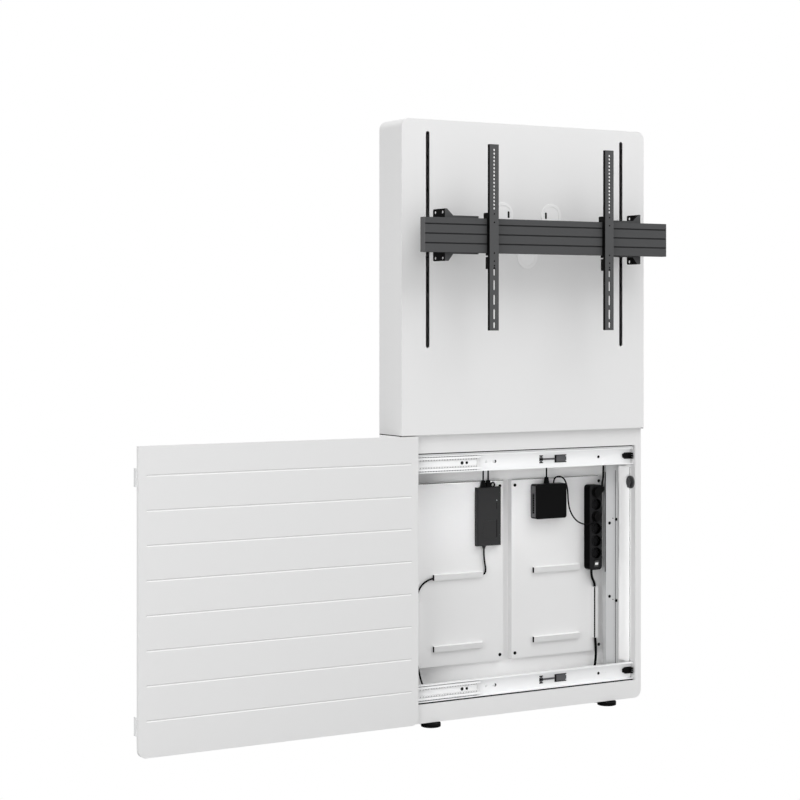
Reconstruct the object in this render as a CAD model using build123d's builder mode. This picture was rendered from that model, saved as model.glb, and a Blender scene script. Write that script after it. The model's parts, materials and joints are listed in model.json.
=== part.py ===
from math import pi, radians, sqrt, tan
import os

from build123d import *

# Motorised display lift in a two-part steel housing, with a sliding front door.
# Frame: origin on the floor in the middle of the four feet, +X right, +Y to the wall, +Z up.
# The stored pose has the door pushed fully to the left and the lift near mid travel.

# Housing
housing_width = 850.0
housing_depth = 128.0
foot_height = 15.0
cabinet_height = 821.0
upper_height = 898.0
housing_corner_radius = 24.0
sheet = 2.0
cabinet_step = 14.0
overrun = 3.0
seat_gap = 0.3

# Front slots for the lift arms
slot_inset = 85.6
slot_x = housing_width / 2 - slot_inset
slot_width = 12.5
slot_low_z = 1083.8
slot_high_z = 1700.2

# Cable outlets in the upper front
outlet_hole_radius = 30.0
outlet_flange_radius = 35.0
outlet_flange_thickness = 1.5
outlet_sleeve_length = 14.0
outlet_bore_radius = 27.0
cap_clearance = 0.3
cap_thickness = 3.0
cap_proud = 1.0
notch_offset = 19.0
notch_width = 7.0
notch_height = 20.0
upper_outlet_x = 84.6
upper_outlet_z = 1470.0
lower_outlet_z = 1349.0

# Wall fixing holes in the upper back panel
wall_hole_radius = 4.5
wall_hole_inset = 125.0
wall_hole_x = housing_width / 2 - wall_hole_inset
wall_hole_low_z = 900.0
wall_hole_high_z = 1660.0

# Front frame of the lower cabinet
frame_stile_width = 21.0
frame_opening_half = housing_width / 2 - frame_stile_width
frame_opening_low_z = 68.0
frame_opening_high_z = 783.0
frame_return_depth = 19.0

# Side liners, two white plates inside the cabinet's side walls
liner_low_z = 115.0
liner_high_z = 713.0
liner_front_depth = 66.0
liner_back_depth = 121.0
liner_corner_radius = 6.0

# Feet
foot_radius = 28.5
foot_disc_height = 12.0
foot_bevel = 1.5
foot_stem_radius = 8.0
foot_inset = 115.0
foot_x = housing_width / 2 - foot_inset
foot_y = 32.0

# Guide rails, one upright extrusion on each side
rail_post_inset = 70.0
rail_post_x = housing_width / 2 - rail_post_inset
rail_post_width = 45.0
rail_post_front_depth = 66.0
rail_post_thickness = 18.0
rail_post_wall = 3.0
rail_post_foot = 30.0
rail_post_top_gap = 20.0
rail_post_groove_width = 12.0
rail_post_groove_depth = 2.0
rail_post_groove_edge = 1.5
post_clearance = 0.5
post_screw_radius = 4.0
post_screw_head = 1.4
post_face_screws = ((-9.5, 544.1), (-9.5, 320.6))
post_groove_screws = ((17.0, 553.9), (17.0, 305.6))
post_pin_holes = ((3.5, 557.7), (3.5, 309.9))
post_pin_hole_radius = 2.0

# Cable opening in the divider between the two housings
cable_opening_low_x = -130.0
cable_opening_high_x = 100.0
cable_opening_front_depth = 84.0
cable_opening_back_depth = 118.0

# Telescopic door slides, each of three members
door_travel = 795.0
slide_upper_z = 750.3
slide_lower_z = 97.2
slide_sheet = 1.5
outer_height = 49.5
outer_front_depth = 20.0
outer_back_depth = 36.0
outer_lip = 3.1
outer_corner = 2.5
outer_left_inset = 23.5
outer_left_x = outer_left_inset - housing_width / 2
outer_right_inset = 25.0
outer_right_x = housing_width / 2 - outer_right_inset
middle_height = 38.0
middle_track_height = 25.8
middle_front_depth = 22.0
middle_back_depth = 31.5
middle_length = 650.0
middle_right_x = -147.0
inner_height = 17.0
inner_front_depth = 13.5
inner_back_depth = 28.4
inner_left_x = -1216.0
inner_right_x = -400.0
web_hole_radius = 3.2
small_hole_radius = 1.3
outer_hole_x = 281.0
outer_screw_radius = 3.6
outer_screw_head = 1.0
outer_small_hole_pitch = 12.5
middle_hole_x = -206.0
middle_hole_pitch = 16.0
beam_thickness = 4.0
beam_height = 44.0
notch_clearance = 1.6

# Ball cages inside the slides
ball_radius = 1.8
ball_pitch = 9.0
inner_ball_count = 71
outer_ball_count = 27
inner_ball_z = 10.7
inner_ball_depth = 27.2
outer_ball_z = 21.1
outer_ball_depth = 30.5
inner_cage_length = 644.0
outer_cage_length = 246.0
cage_right_gap = 3.0
cage_strip = 0.8
cage_window_half = 8.0
cage_bar = 5.0
inner_cage_half = 12.3
outer_cage_half = 22.6
outer_cage_front_depth = 32.2
outer_cage_strip = 1.5

# Soft close unit set into the web of each outer member
window_left_x = 66.0
window_right_x = 164.0
window_half = 12.2
closer_half = 11.4
closer_front_depth = 34.2
closer_end_left_x = 67.0
closer_end_right_x = 79.0
closer_block_left_x = 122.0
closer_block_right_x = 163.0
closer_rod_half = 2.6
closer_bite = 3.2

# Rubber stops at the right end of each outer member
stop_left_x = 369.3
stop_wall_x = 396.2
stop_half = 9.6
stop_nose_half = 4.8
stop_taper = 9.0
stop_front_depth = 29.2
stop_nub_front_depth = 20.0
stop_nub_half = 2.4
stop_nub_rise = 6.6
web_gap = 0.1

# Door
door_thickness = 12.0
door_gap_below_seam = 3.0
door_corner_radius = 22.0
door_groove_low_z = 111.4
door_groove_pitch = 92.0
door_groove_count = 8
door_groove_inset = 22.0
door_groove_width = 5.4
door_groove_depth = 1.5
door_groove_taper = 52.0
bracket_height = 49.0
bracket_left_inset = 6.0
end_tab_left_x = -1223.0
end_tab_thickness = 1.5
end_tab_back_depth = 24.5

# Door hook and the side lock
lock_depth = 37.0
lock_z = 668.9
lock_barrel_radius = 14.0
lock_nut_radius = 19.5
lock_nut_thickness = 3.0
lock_nut_face_x = 401.0
lock_rim_radius = 18.0
lock_rim_thickness = 2.0
lock_plug_radius = 8.0
lock_clearance = 0.05
lock_hole_gap = 0.5
cam_left_x = 394.0
cam_thickness = 3.0
cam_radius = 10.0
cam_reach = 16.5
cam_half_width = 6.0
key_slot_width = 2.2
key_slot_length = 9.0
key_slot_depth = 6.0
hook_x = 398.0
hook_thickness = 2.0
hook_back_depth = 26.0
hook_half_height = 15.0
hook_base_width = 20.0

# Equipment trays with lanced cable channels
tray_inner_x = 14.7
tray_outer_inset = 79.0
tray_outer_x = housing_width / 2 - tray_outer_inset
tray_low_z = 153.0
tray_high_z = 687.0
tray_front_depth = 106.0
tray_sheet = 1.5
tray_screw_inset = 12.0
tray_screw_drop = 16.6
tray_screw_radius = 4.4
tray_screw_head = 1.6
channel_depth = 10.5
channel_low_depth = 7.5
channel_width = 18.6
channel_slope = 1.2
channel_wall = 1.5
channel_length = 168.0
channel_centre_x = 174.6
channel_upper_z = 413.0
channel_lower_z = 204.8
upright_channel_x = 316.5
upright_channel_length = 156.0
upright_channel_z = 271.0

# Control box
control_left_x = -114.6
control_right_x = -32.0
control_low_z = 497.0
control_high_z = 670.0
control_front_depth = 90.0
control_edge = 2.5
relief_x = -88.0
relief_radius = 6.5
relief_tip_radius = 3.4
relief_length = 9.0
port_plug_x = (-90.4, -72.9)
port_plug_width = 15.0
port_plug_tip_width = 9.0
port_plug_depth = 12.0
port_plug_tip_depth = 8.0
port_plug_height = 20.0
lug_x = -57.0
lug_radius = 8.0
lug_hole_radius = 4.4
lug_rise = 6.0
lug_thickness = 3.0
lamp_x = -47.9
lamp_z = 630.2
lamp_radius = 1.4
lamp_proud = 0.5

# Media player
player_left_x = 83.7
player_right_x = 194.7
player_low_z = 567.5
player_high_z = 671.5
player_front_depth = 76.5
player_corner = 7.0
player_edge = 1.5
vent_low_z = 585.0
vent_high_z = 642.0
vent_depth = 91.0
vent_count = 9
vent_height = 3.4
vent_width = 9.0
vent_cut = 3.0
video_plug_x = 130.4
video_plug_width = 13.0
video_plug_tip_width = 8.0
video_plug_height = 20.0
device_lead_depth = 91.0

# Six-way power strip
strip_box_left_x = 279.0
strip_box_right_x = 325.5
strip_box_low_z = 403.3
strip_box_high_z = 661.6
strip_box_front_depth = 74.5
strip_box_corner = 11.0
strip_box_edge = 2.0
socket_count = 6
socket_top_z = 639.6
socket_pitch = 37.0
socket_radius = 16.8
socket_recess = 14.0
contact_hole_radius = 2.4
contact_hole_offset = 9.5
contact_hole_depth = 5.0
rocker_z = 422.6
rocker_half_width = 7.7
rocker_half_height = 10.0
rocker_thickness = 7.0
rocker_tilt = 10.0
rocker_pocket_gap = 0.8
rocker_pocket_depth = 9.0
rocker_proud = 1.6

# Flat plug of the media player's power lead
player_socket_count = 3
display_socket_count = 1
flat_plug_radius = 15.6
flat_plug_cap_radius = 12.5
flat_plug_sink = 13.6
flat_plug_proud = 9.0
flat_plug_back = 2.5
player_nose = ((302.25, 565.6), (291.5, 562.0), (295.9, 554.7), (299.1, 548.3), (310.5, 556.0))
display_nose = ((302.25, 639.6), (314.0, 634.0), (325.0, 645.0), (325.0, 656.0), (315.6, 656.0),
                (297.0, 651.0))
pin_radius = 2.2
pin_length = 4.6

# Mains inlet at the cabinet's back
inlet_left_x = 180.0
inlet_right_x = 240.0
inlet_front_depth = 92.0
inlet_height = 40.0
inlet_mouth_width = 27.5
inlet_mouth_height = 20.0
inlet_mouth_depth = 18.0
inlet_pin_width = 2.0
inlet_pin_height = 4.0
inlet_pin_pitch = 7.0

# Lead sockets under the divider
video_socket_radius = 9.0
display_socket_radius = 5.0
lead_socket_height = 16.0

# Leads
thin_lead = 4.5
control_lead_diameter = 5.0
mains_lead_diameter = 7.5
display_lead_diameter = 6.0
channel_lead_depth = 101.5
motor_lead_depth = 98.0
bend_limit = 16.0
display_lead_x = 318.2
display_lead_depth = 60.0
motor_lead_turn_x = 262.0
motor_lead_turn_depth = 84.0
run_share = 0.45

# Lift carriages on the guide rails
carriage_low_z = 1341.0
carriage_height = 120.0
carriage_front_depth = 56.0
carriage_plate = 8.0
carriage_side = 8.0
carriage_lip_thickness = 7.5
carriage_lip_width = 16.0
nut_radius = 12.0
nut_block_width = 26.0

# Spindles, motors and bearings
spindle_inset = 129.0
spindle_x = housing_width / 2 - spindle_inset
spindle_depth = 30.0
spindle_radius = 6.0
spindle_clearance = 0.05
spindle_tip_radius = 4.0
spindle_tip_length = 8.0
motor_radius = 19.0
motor_low_lift = 8.0
motor_length = 164.0
motor_flange_half = 19.0
motor_gear_radius = 15.0
motor_gear_height = 10.0
terminal_half = 8.0
terminal_depth = 12.0
terminal_height = 14.0
bearing_height = 16.0
bearing_half = 14.0
mount_height = 20.0

# Brackets that carry the display rail through the slots
bracket_plate = 2.0
arm_low_z = 1356.0
arm_high_z = 1446.0
ear_low_z = 1329.0
ear_high_z = 1476.0
ear_back_depth = -31.0
flange_front_depth = -95.4
flange_plate = 4.0
ear_corner = 5.0
ear_hole_radius = 4.4
ear_hole_depths = (-43.0, -82.0)
ear_hole_low_z = 1337.2
ear_hole_high_z = 1466.3
flange_top_x = 333.5
flange_shoulder_x = 313.0
flange_inner_x = 229.0
flange_low_z = 1349.0
flange_high_z = 1457.0

# Display rail
display_rail_length = 840.0
display_rail_low_z = 1352.1
display_rail_high_z = 1449.7
display_rail_depth = 22.0
display_rail_wall = 2.6
rail_grooves_z = (1431.2, 1404.4, 1377.7)
rail_groove_width = 4.0
rail_groove_depth = 6.0
rail_edge_radius = 1.0
hook_groove_front = 11.4
hook_groove_width = 7.0
hook_groove_depth = 7.0
end_cap_thickness = 2.0
cap_spigot_length = 6.0
cap_spigot_gap = 0.3
cap_spigot_height = 12.0

# Display strips and their clamps
strip_x = 200.0
strip_width = 30.5
strip_front_depth = -133.0
strip_channel_depth = 11.0
strip_sheet = 2.5
strip_low_z = 1133.6
strip_high_z = 1658.6
strip_edge = 0.8
strip_hole_radius = 3.4
strip_hole_top_z = 1642.6
strip_hole_pitch = 10.3
strip_hole_count = 17
strip_small_hole_radius = 2.2
strip_small_holes_z = (1462.1, 1438.6, 1352.0, 1329.1, 1316.2)
strip_slot_width = 6.4
strip_slots_z = ((1288.0, 1312.0), (1247.3, 1275.6), (1206.0, 1234.2), (1165.2, 1193.8), (1140.0, 1157.0))
clamp_gap = 0.3
hook_low_z = 1352.0
hook_high_z = 1466.0
hook_back_reach = 17.4
hook_lip = 4.6
hook_lip_drop = 5.5
hook_corner = 3.0
latch_low_z = 1307.0
latch_high_z = 1341.0
latch_thickness = 11.0
latch_tongue_half = 8.0
latch_bridge_drop = 6.5
latch_screw_radius = 2.5
latch_screw_length = 4.0

# Places worked out from the sizes above
front_y = -housing_depth / 2
back_y = housing_depth / 2
cabinet_front_y = front_y + cabinet_step
low_z = foot_height
seam_z = foot_height + cabinet_height
top_z = seam_z + upper_height
inner_back_y = back_y - sheet
floor_top_z = low_z + sheet
divider_top_z = seam_z + sheet
door_left_x = -housing_width / 2 - door_travel
door_right_x = door_left_x + housing_width
door_high_z = seam_z - door_gap_below_seam
post_front_y = front_y + rail_post_front_depth
post_back_y = post_front_y + rail_post_thickness
post_top_z = top_z - sheet - rail_post_top_gap
middle_left_x = middle_right_x - middle_length


def depth(distance):
    """Y of a plane that lies this far behind the upper front face."""
    return front_y + distance


def front_plane(y):
    """Upright plane at y that faces the front, with X to the right and Z up."""
    return Plane.XZ.offset(-y)


def side_plane(x):
    """Upright plane at x that faces right, with Y to the right and Z up."""
    return Plane.YZ.offset(x)


def block(x_span, y_span, z_span, mode=Mode.ADD):
    """A box between the low and high ends of three spans."""
    spans = (x_span, y_span, z_span)
    with Locations(tuple((low + high) / 2 for low, high in spans)):
        Box(*(abs(high - low) for low, high in spans), mode=mode)


def spans_for(side, near, far):
    """X span of a piece on the left (-1) or right (+1) between two distances from the middle."""
    return (min(side * near, side * far), max(side * near, side * far))


def rectangle_between(x_span, z_span, mode=Mode.ADD):
    """A sketch rectangle between the ends of two spans."""
    with Locations(((x_span[0] + x_span[1]) / 2, (z_span[0] + z_span[1]) / 2)):
        Rectangle(x_span[1] - x_span[0], z_span[1] - z_span[0], mode=mode)


def end_panel(width, low, high, radius, round_top, centre_x=0):
    """A panel outline with its two top or its two bottom corners rounded."""
    rectangle_between((centre_x - width / 2, centre_x + width / 2), (low, high))
    ends = vertices().group_by(Axis.Y)
    fillet(ends[-1] if round_top else ends[0], radius)


def finish(part, name):
    """Label the piece and write its STEP file."""
    part.label = name
    export_step(part, f"parts/{name}.step")


os.makedirs("parts", exist_ok=True)

# Upper housing: a wrap of bent sheet, open below, with a flat panel front and back
wrap_front_y = front_y + sheet
wrap_depth = inner_back_y - wrap_front_y

with BuildPart() as upper_shell:
    with BuildSketch(front_plane(inner_back_y)):
        end_panel(housing_width, seam_z, top_z, housing_corner_radius, True)
    extrude(amount=wrap_depth)
    with BuildSketch(front_plane(inner_back_y)):
        end_panel(housing_width - 2 * sheet, seam_z - overrun, top_z - sheet,
                  housing_corner_radius - sheet, True)
    extrude(amount=wrap_depth, mode=Mode.SUBTRACT)
finish(upper_shell.part, "upper_shell")

slot_middle_z = (slot_low_z + slot_high_z) / 2
slot_height = slot_high_z - slot_low_z
outlet_places = [(-upper_outlet_x, upper_outlet_z), (upper_outlet_x, upper_outlet_z), (0, lower_outlet_z)]

with BuildPart() as upper_front_panel:
    with BuildSketch(front_plane(wrap_front_y)):
        end_panel(housing_width, seam_z, top_z, housing_corner_radius, True)
        with Locations((-slot_x, slot_middle_z), (slot_x, slot_middle_z)):
            SlotOverall(slot_height, slot_width, rotation=90, mode=Mode.SUBTRACT)
        with Locations(*outlet_places):
            Circle(outlet_hole_radius, mode=Mode.SUBTRACT)
    extrude(amount=sheet)
finish(upper_front_panel.part, "upper_front_panel")

with BuildPart() as upper_back_panel:
    with BuildSketch(front_plane(back_y)):
        end_panel(housing_width, seam_z, top_z, housing_corner_radius, True)
        with Locations(*[(side * wall_hole_x, z) for side in (-1, 1)
                         for z in (wall_hole_low_z, wall_hole_high_z)]):
            Circle(wall_hole_radius, mode=Mode.SUBTRACT)
    extrude(amount=sheet)
finish(upper_back_panel.part, "upper_back_panel")

# Divider: the upper housing's floor, with openings for the guide rails and the leads
post_half = rail_post_width / 2 + post_clearance

with BuildPart() as divider_plate:
    block((-housing_width / 2 + sheet, housing_width / 2 - sheet), (wrap_front_y, inner_back_y),
          (seam_z, divider_top_z))
    cut_z = (seam_z - overrun, divider_top_z + overrun)
    for side in (-1, 1):
        block((side * rail_post_x - post_half, side * rail_post_x + post_half),
              (post_front_y - post_clearance, post_back_y + post_clearance), cut_z, Mode.SUBTRACT)
    block((cable_opening_low_x, cable_opening_high_x),
          (depth(cable_opening_front_depth), depth(cable_opening_back_depth)), cut_z, Mode.SUBTRACT)
finish(divider_plate.part, "divider_plate")

# Lower cabinet: a wrap of bent sheet, open above, a back panel and a front frame
slide_levels = (slide_lower_z, slide_upper_z)
notch_half = middle_height / 2 + notch_clearance
cabinet_wrap_y = cabinet_front_y + sheet
side_notch_z = [(z - notch_half, z + notch_half) for z in slide_levels]
lock_y = depth(lock_depth)

with BuildPart() as lower_shell:
    with BuildSketch(front_plane(inner_back_y)):
        end_panel(housing_width, low_z, seam_z, housing_corner_radius, False)
    extrude(amount=inner_back_y - cabinet_wrap_y)
    with BuildSketch(front_plane(inner_back_y)):
        end_panel(housing_width - 2 * sheet, floor_top_z, seam_z + overrun,
                  housing_corner_radius - sheet, False)
    extrude(amount=inner_back_y - cabinet_wrap_y, mode=Mode.SUBTRACT)
    for z_span in side_notch_z:
        block((-housing_width / 2 - overrun, -housing_width / 2 + sheet + overrun),
              (cabinet_wrap_y - overrun, depth(outer_back_depth)), z_span, Mode.SUBTRACT)
    with Locations(Location((housing_width / 2, lock_y, lock_z), (0, 90, 0))):
        Cylinder(lock_barrel_radius + lock_clearance, 4 * sheet, mode=Mode.SUBTRACT)
finish(lower_shell.part, "lower_shell")

with BuildPart() as lower_front_frame:
    with BuildSketch(front_plane(cabinet_wrap_y)):
        end_panel(housing_width, low_z, seam_z, housing_corner_radius, False)
        rectangle_between((-frame_opening_half, frame_opening_half),
                          (frame_opening_low_z, frame_opening_high_z), Mode.SUBTRACT)
    extrude(amount=sheet)
    with BuildSketch(front_plane(cabinet_wrap_y + frame_return_depth)):
        rectangle_between((-frame_opening_half - sheet, frame_opening_half + sheet),
                          (frame_opening_low_z - sheet, frame_opening_high_z + sheet))
        rectangle_between((-frame_opening_half, frame_opening_half),
                          (frame_opening_low_z, frame_opening_high_z), Mode.SUBTRACT)
    extrude(amount=frame_return_depth)
    for z_span in side_notch_z:
        block((-housing_width / 2 - overrun, -frame_opening_half + overrun),
              (cabinet_front_y - overrun, depth(outer_back_depth)), z_span, Mode.SUBTRACT)
    with Locations(Location((frame_opening_half + sheet / 2, lock_y, lock_z), (0, 90, 0))):
        Cylinder(lock_barrel_radius + lock_hole_gap, 3 * sheet, mode=Mode.SUBTRACT)
finish(lower_front_frame.part, "lower_front_frame")

inlet_middle_x = (inlet_left_x + inlet_right_x) / 2
inlet_middle_z = floor_top_z + inlet_height / 2

with BuildPart() as lower_back_panel:
    with BuildSketch(front_plane(back_y)):
        end_panel(housing_width, low_z, seam_z, housing_corner_radius, False)
        with Locations((inlet_middle_x, inlet_middle_z)):
            Rectangle(inlet_mouth_width, inlet_mouth_height, mode=Mode.SUBTRACT)
    extrude(amount=sheet)
finish(lower_back_panel.part, "lower_back_panel")

with BuildPart() as side_liners:
    for side in (-1, 1):
        wall_x = side * (housing_width / 2 - sheet)
        with BuildSketch(side_plane(wall_x)):
            with Locations((depth((liner_front_depth + liner_back_depth) / 2),
                            (liner_low_z + liner_high_z) / 2)):
                RectangleRounded(liner_back_depth - liner_front_depth, liner_high_z - liner_low_z,
                                 liner_corner_radius)
        extrude(amount=-side * sheet)
finish(side_liners.part, "side_liners")

with BuildPart() as feet:
    with Locations(*[(x, y) for x in (-foot_x, foot_x) for y in (-foot_y, foot_y)]):
        Cylinder(foot_radius, foot_disc_height, align=(Align.CENTER, Align.CENTER, Align.MIN))
    chamfer(feet.edges().filter_by(GeomType.CIRCLE).group_by(Axis.Z)[-1], foot_bevel)
    with Locations(*[(x, y) for x in (-foot_x, foot_x) for y in (-foot_y, foot_y)]):
        Cylinder(foot_stem_radius, foot_height, align=(Align.CENTER, Align.CENTER, Align.MIN))
finish(feet.part, "feet")

# Guide rails: hollow uprights with a groove near the outer front edge
with BuildPart() as guide_rails:
    for side in (-1, 1):
        post_low_x = side * rail_post_x - rail_post_width / 2
        post_high_x = side * rail_post_x + rail_post_width / 2
        block((post_low_x, post_high_x), (post_front_y, post_back_y),
              (floor_top_z + rail_post_foot, post_top_z))
        block((post_low_x + rail_post_wall, post_high_x - rail_post_wall),
              (post_front_y + rail_post_wall, post_back_y - rail_post_wall),
              (floor_top_z + rail_post_foot - overrun, post_top_z + overrun), Mode.SUBTRACT)
        groove_far = rail_post_x + rail_post_width / 2 - rail_post_groove_edge
        block(spans_for(side, groove_far - rail_post_groove_width, groove_far),
              (post_front_y - overrun, post_front_y + rail_post_groove_depth),
              (floor_top_z, top_z), Mode.SUBTRACT)
        with BuildSketch(front_plane(post_front_y + rail_post_wall)):
            with Locations(*[(side * (rail_post_x + offset), z) for offset, z in post_pin_holes]):
                Circle(post_pin_hole_radius)
        extrude(amount=rail_post_wall, mode=Mode.SUBTRACT)
finish(guide_rails.part, "guide_rails")

spindle_y = depth(spindle_depth)
mount_top_z = top_z - sheet

with BuildPart() as guide_rail_mounts:
    for side in (-1, 1):
        post_span = (side * rail_post_x - rail_post_width / 2, side * rail_post_x + rail_post_width / 2)
        block(post_span, (post_front_y, post_back_y), (floor_top_z, floor_top_z + rail_post_foot))
        block(spans_for(side, spindle_x - bearing_half, rail_post_x + rail_post_width / 2),
              (spindle_y - bearing_half, post_back_y), (mount_top_z - mount_height, mount_top_z))
        with Locations((side * spindle_x, spindle_y, mount_top_z - mount_height)):
            Cylinder(spindle_tip_radius + spindle_clearance, bearing_height,
                     align=(Align.CENTER, Align.CENTER, Align.MIN), mode=Mode.SUBTRACT)
finish(guide_rail_mounts.part, "guide_rail_mounts")

# Telescopic slides: the fixed outer members with their beams
slide_names = ("lower", "upper")
outer_half = outer_height / 2


def channel_profile(front, back, half, wall, lip):
    """Sketch a channel open to the front, seen from its end, with small lips on its edges."""
    rectangle_between((depth(front), depth(back)), (-half, half))
    rounded = vertices().group_by(Axis.X)[-1]
    fillet(rounded, outer_corner)
    rectangle_between((depth(front) - overrun, depth(back) - wall), (-half + lip, half - lip), Mode.SUBTRACT)
    rectangle_between((depth(front) + wall, depth(back) - wall), (-half + wall, half - wall), Mode.SUBTRACT)


for level, z in zip(slide_names, slide_levels):
    with BuildPart() as outer_slide:
        with BuildSketch(Plane(origin=(outer_left_x, 0, z), x_dir=(0, 1, 0), z_dir=(1, 0, 0))):
            channel_profile(outer_front_depth, outer_back_depth, outer_half, slide_sheet, outer_lip)
        extrude(amount=outer_right_x - outer_left_x)
        web_y = (depth(outer_back_depth) - slide_sheet - overrun, depth(outer_back_depth) + overrun)
        block((window_left_x, window_right_x), web_y, (z - window_half, z + window_half), Mode.SUBTRACT)
        with BuildSketch(front_plane(depth(outer_back_depth))):
            with Locations((outer_hole_x, z)):
                Circle(web_hole_radius)
            with Locations((outer_hole_x + outer_small_hole_pitch, z),
                           (outer_hole_x + 2 * outer_small_hole_pitch, z)):
                Circle(small_hole_radius)
        extrude(amount=2 * slide_sheet, mode=Mode.SUBTRACT)
    finish(outer_slide.part, f"outer_slide_{level}")

with BuildPart() as slide_beams:
    for z in slide_levels:
        block((-housing_width / 2 + sheet, housing_width / 2 - sheet),
              (depth(outer_back_depth), depth(outer_back_depth) + beam_thickness),
              (z - beam_height / 2, z + beam_height / 2))
finish(slide_beams.part, "slide_beams")

closer_y = (depth(closer_front_depth), depth(outer_back_depth))

with BuildPart() as soft_closers:
    for z in slide_levels:
        block((closer_end_left_x, closer_end_right_x), closer_y, (z - closer_half, z + closer_half))
        block((closer_block_left_x, closer_block_right_x), closer_y, (z - closer_half, z + closer_half))
        block((closer_end_right_x, closer_block_left_x), closer_y,
              (z - closer_rod_half, z + closer_rod_half))
        for bite_x in (closer_end_left_x, closer_end_right_x, closer_block_right_x):
            for sign in (-1, 1):
                bite_z = z + sign * (closer_half + closer_rod_half) / 2
                block((bite_x - closer_bite, bite_x + closer_bite),
                      (closer_y[0] - overrun, closer_y[1] + overrun),
                      (bite_z - closer_bite / 2, bite_z + closer_bite / 2), Mode.SUBTRACT)
finish(soft_closers.part, "soft_closers")

stop_back_depth = outer_back_depth - slide_sheet

with BuildPart() as slide_stops:
    for z in slide_levels:
        with BuildSketch(front_plane(depth(stop_back_depth))):
            with BuildLine():
                Polyline((stop_left_x, z - stop_nose_half), (stop_left_x + stop_taper, z - stop_half),
                         (outer_right_x, z - stop_half), (outer_right_x, z + stop_half),
                         (stop_left_x + stop_taper, z + stop_half), (stop_left_x, z + stop_nose_half),
                         close=True)
            make_face()
        extrude(amount=stop_back_depth - stop_front_depth)
        for rise in (-stop_nub_rise, 0, stop_nub_rise):
            block((stop_wall_x, outer_right_x), (depth(stop_nub_front_depth), depth(stop_front_depth)),
                  (z + rise - stop_nub_half, z + rise + stop_nub_half))
finish(slide_stops.part, "slide_stops")

# The middle members, with their ball cages
middle_half = middle_height / 2
track_half = middle_track_height / 2


def middle_profile():
    """Sketch the middle member from its end: a web with a hollow track above and below."""
    rectangle_between((depth(middle_front_depth), depth(middle_back_depth)), (-middle_half, middle_half))
    rectangle_between((depth(middle_front_depth) - overrun, depth(middle_back_depth) - slide_sheet),
                      (-track_half, track_half), Mode.SUBTRACT)
    for sign in (-1, 1):
        near, far = track_half + slide_sheet, middle_half - slide_sheet
        rectangle_between((depth(middle_front_depth) + slide_sheet, depth(middle_back_depth) - slide_sheet),
                          spans_for(sign, near, far), Mode.SUBTRACT)


for level, z in zip(slide_names, slide_levels):
    with BuildPart() as middle_slide:
        with BuildSketch(Plane(origin=(middle_left_x, 0, z), x_dir=(0, 1, 0), z_dir=(1, 0, 0))):
            middle_profile()
        extrude(amount=middle_length)
        with BuildSketch(front_plane(depth(middle_back_depth))):
            with Locations((middle_hole_x, z), (middle_hole_x + middle_hole_pitch, z)):
                Circle(web_hole_radius)
        extrude(amount=2 * slide_sheet, mode=Mode.SUBTRACT)
    finish(middle_slide.part, f"middle_slide_{level}")

    cage_right_x = middle_right_x - cage_right_gap
    cage_y = depth(inner_ball_depth + ball_radius)
    outer_cage_y = depth(outer_cage_front_depth)
    with BuildPart() as ball_cage:
        block((cage_right_x - inner_cage_length, cage_right_x),
              (cage_y - web_gap, cage_y - web_gap + cage_strip), (z - inner_cage_half, z + inner_cage_half))
        with Locations((cage_right_x - inner_cage_length / 2, depth(inner_ball_depth), z)):
            with GridLocations(ball_pitch, ball_pitch, inner_ball_count, 1):
                with Locations((0, 0, inner_ball_z), (0, 0, -inner_ball_z)):
                    Sphere(ball_radius)
        block((cage_right_x - inner_cage_length + cage_bar, cage_right_x - cage_bar),
              (cage_y - cage_strip, cage_y + 2 * cage_strip), (z - cage_window_half, z + cage_window_half),
              Mode.SUBTRACT)
        block((cage_right_x - outer_cage_length, cage_right_x),
              (outer_cage_y, outer_cage_y + outer_cage_strip), (z - outer_cage_half, z + outer_cage_half))
        with Locations((cage_right_x - outer_cage_length / 2, depth(outer_ball_depth), z)):
            with GridLocations(ball_pitch, ball_pitch, outer_ball_count, 1):
                with Locations((0, 0, outer_ball_z), (0, 0, -outer_ball_z)):
                    Sphere(ball_radius)
    finish(ball_cage.part, f"ball_cage_{level}")

# Door: a folded panel with eight pressed grooves, its slide members, brackets and hook
door_middle_x = (door_left_x + door_right_x) / 2
groove_length = housing_width - 2 * door_groove_inset

with BuildPart() as door_panel:
    with BuildSketch(front_plane(front_y + door_thickness)):
        end_panel(housing_width, low_z, door_high_z, door_corner_radius, False, door_middle_x)
    extrude(amount=door_thickness)
    with BuildSketch(front_plane(front_y + door_thickness)):
        end_panel(housing_width - 2 * sheet, low_z + sheet, door_high_z - sheet,
                  door_corner_radius - sheet, False, door_middle_x)
    extrude(amount=door_thickness - sheet, mode=Mode.SUBTRACT)
    with BuildSketch(front_plane(front_y)):
        with Locations(*[(door_middle_x, door_groove_low_z + step * door_groove_pitch)
                         for step in range(door_groove_count)]):
            SlotOverall(groove_length, door_groove_width)
    extrude(amount=-door_groove_depth, taper=door_groove_taper, mode=Mode.SUBTRACT)
finish(door_panel.part, "door_panel")

inner_half = inner_height / 2

with BuildPart() as door_slide_members:
    for z in slide_levels:
        block((inner_left_x, inner_right_x), (depth(inner_front_depth), depth(inner_back_depth)),
              (z - inner_half, z + inner_half))
        block((inner_left_x - overrun, inner_right_x + overrun),
              (depth(inner_front_depth) + slide_sheet, depth(inner_back_depth) + overrun),
              (z - inner_half + slide_sheet, z + inner_half - slide_sheet), Mode.SUBTRACT)
finish(door_slide_members.part, "door_slide_members")

bracket_half = bracket_height / 2
bracket_y = (depth(door_thickness), depth(inner_front_depth))

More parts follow.
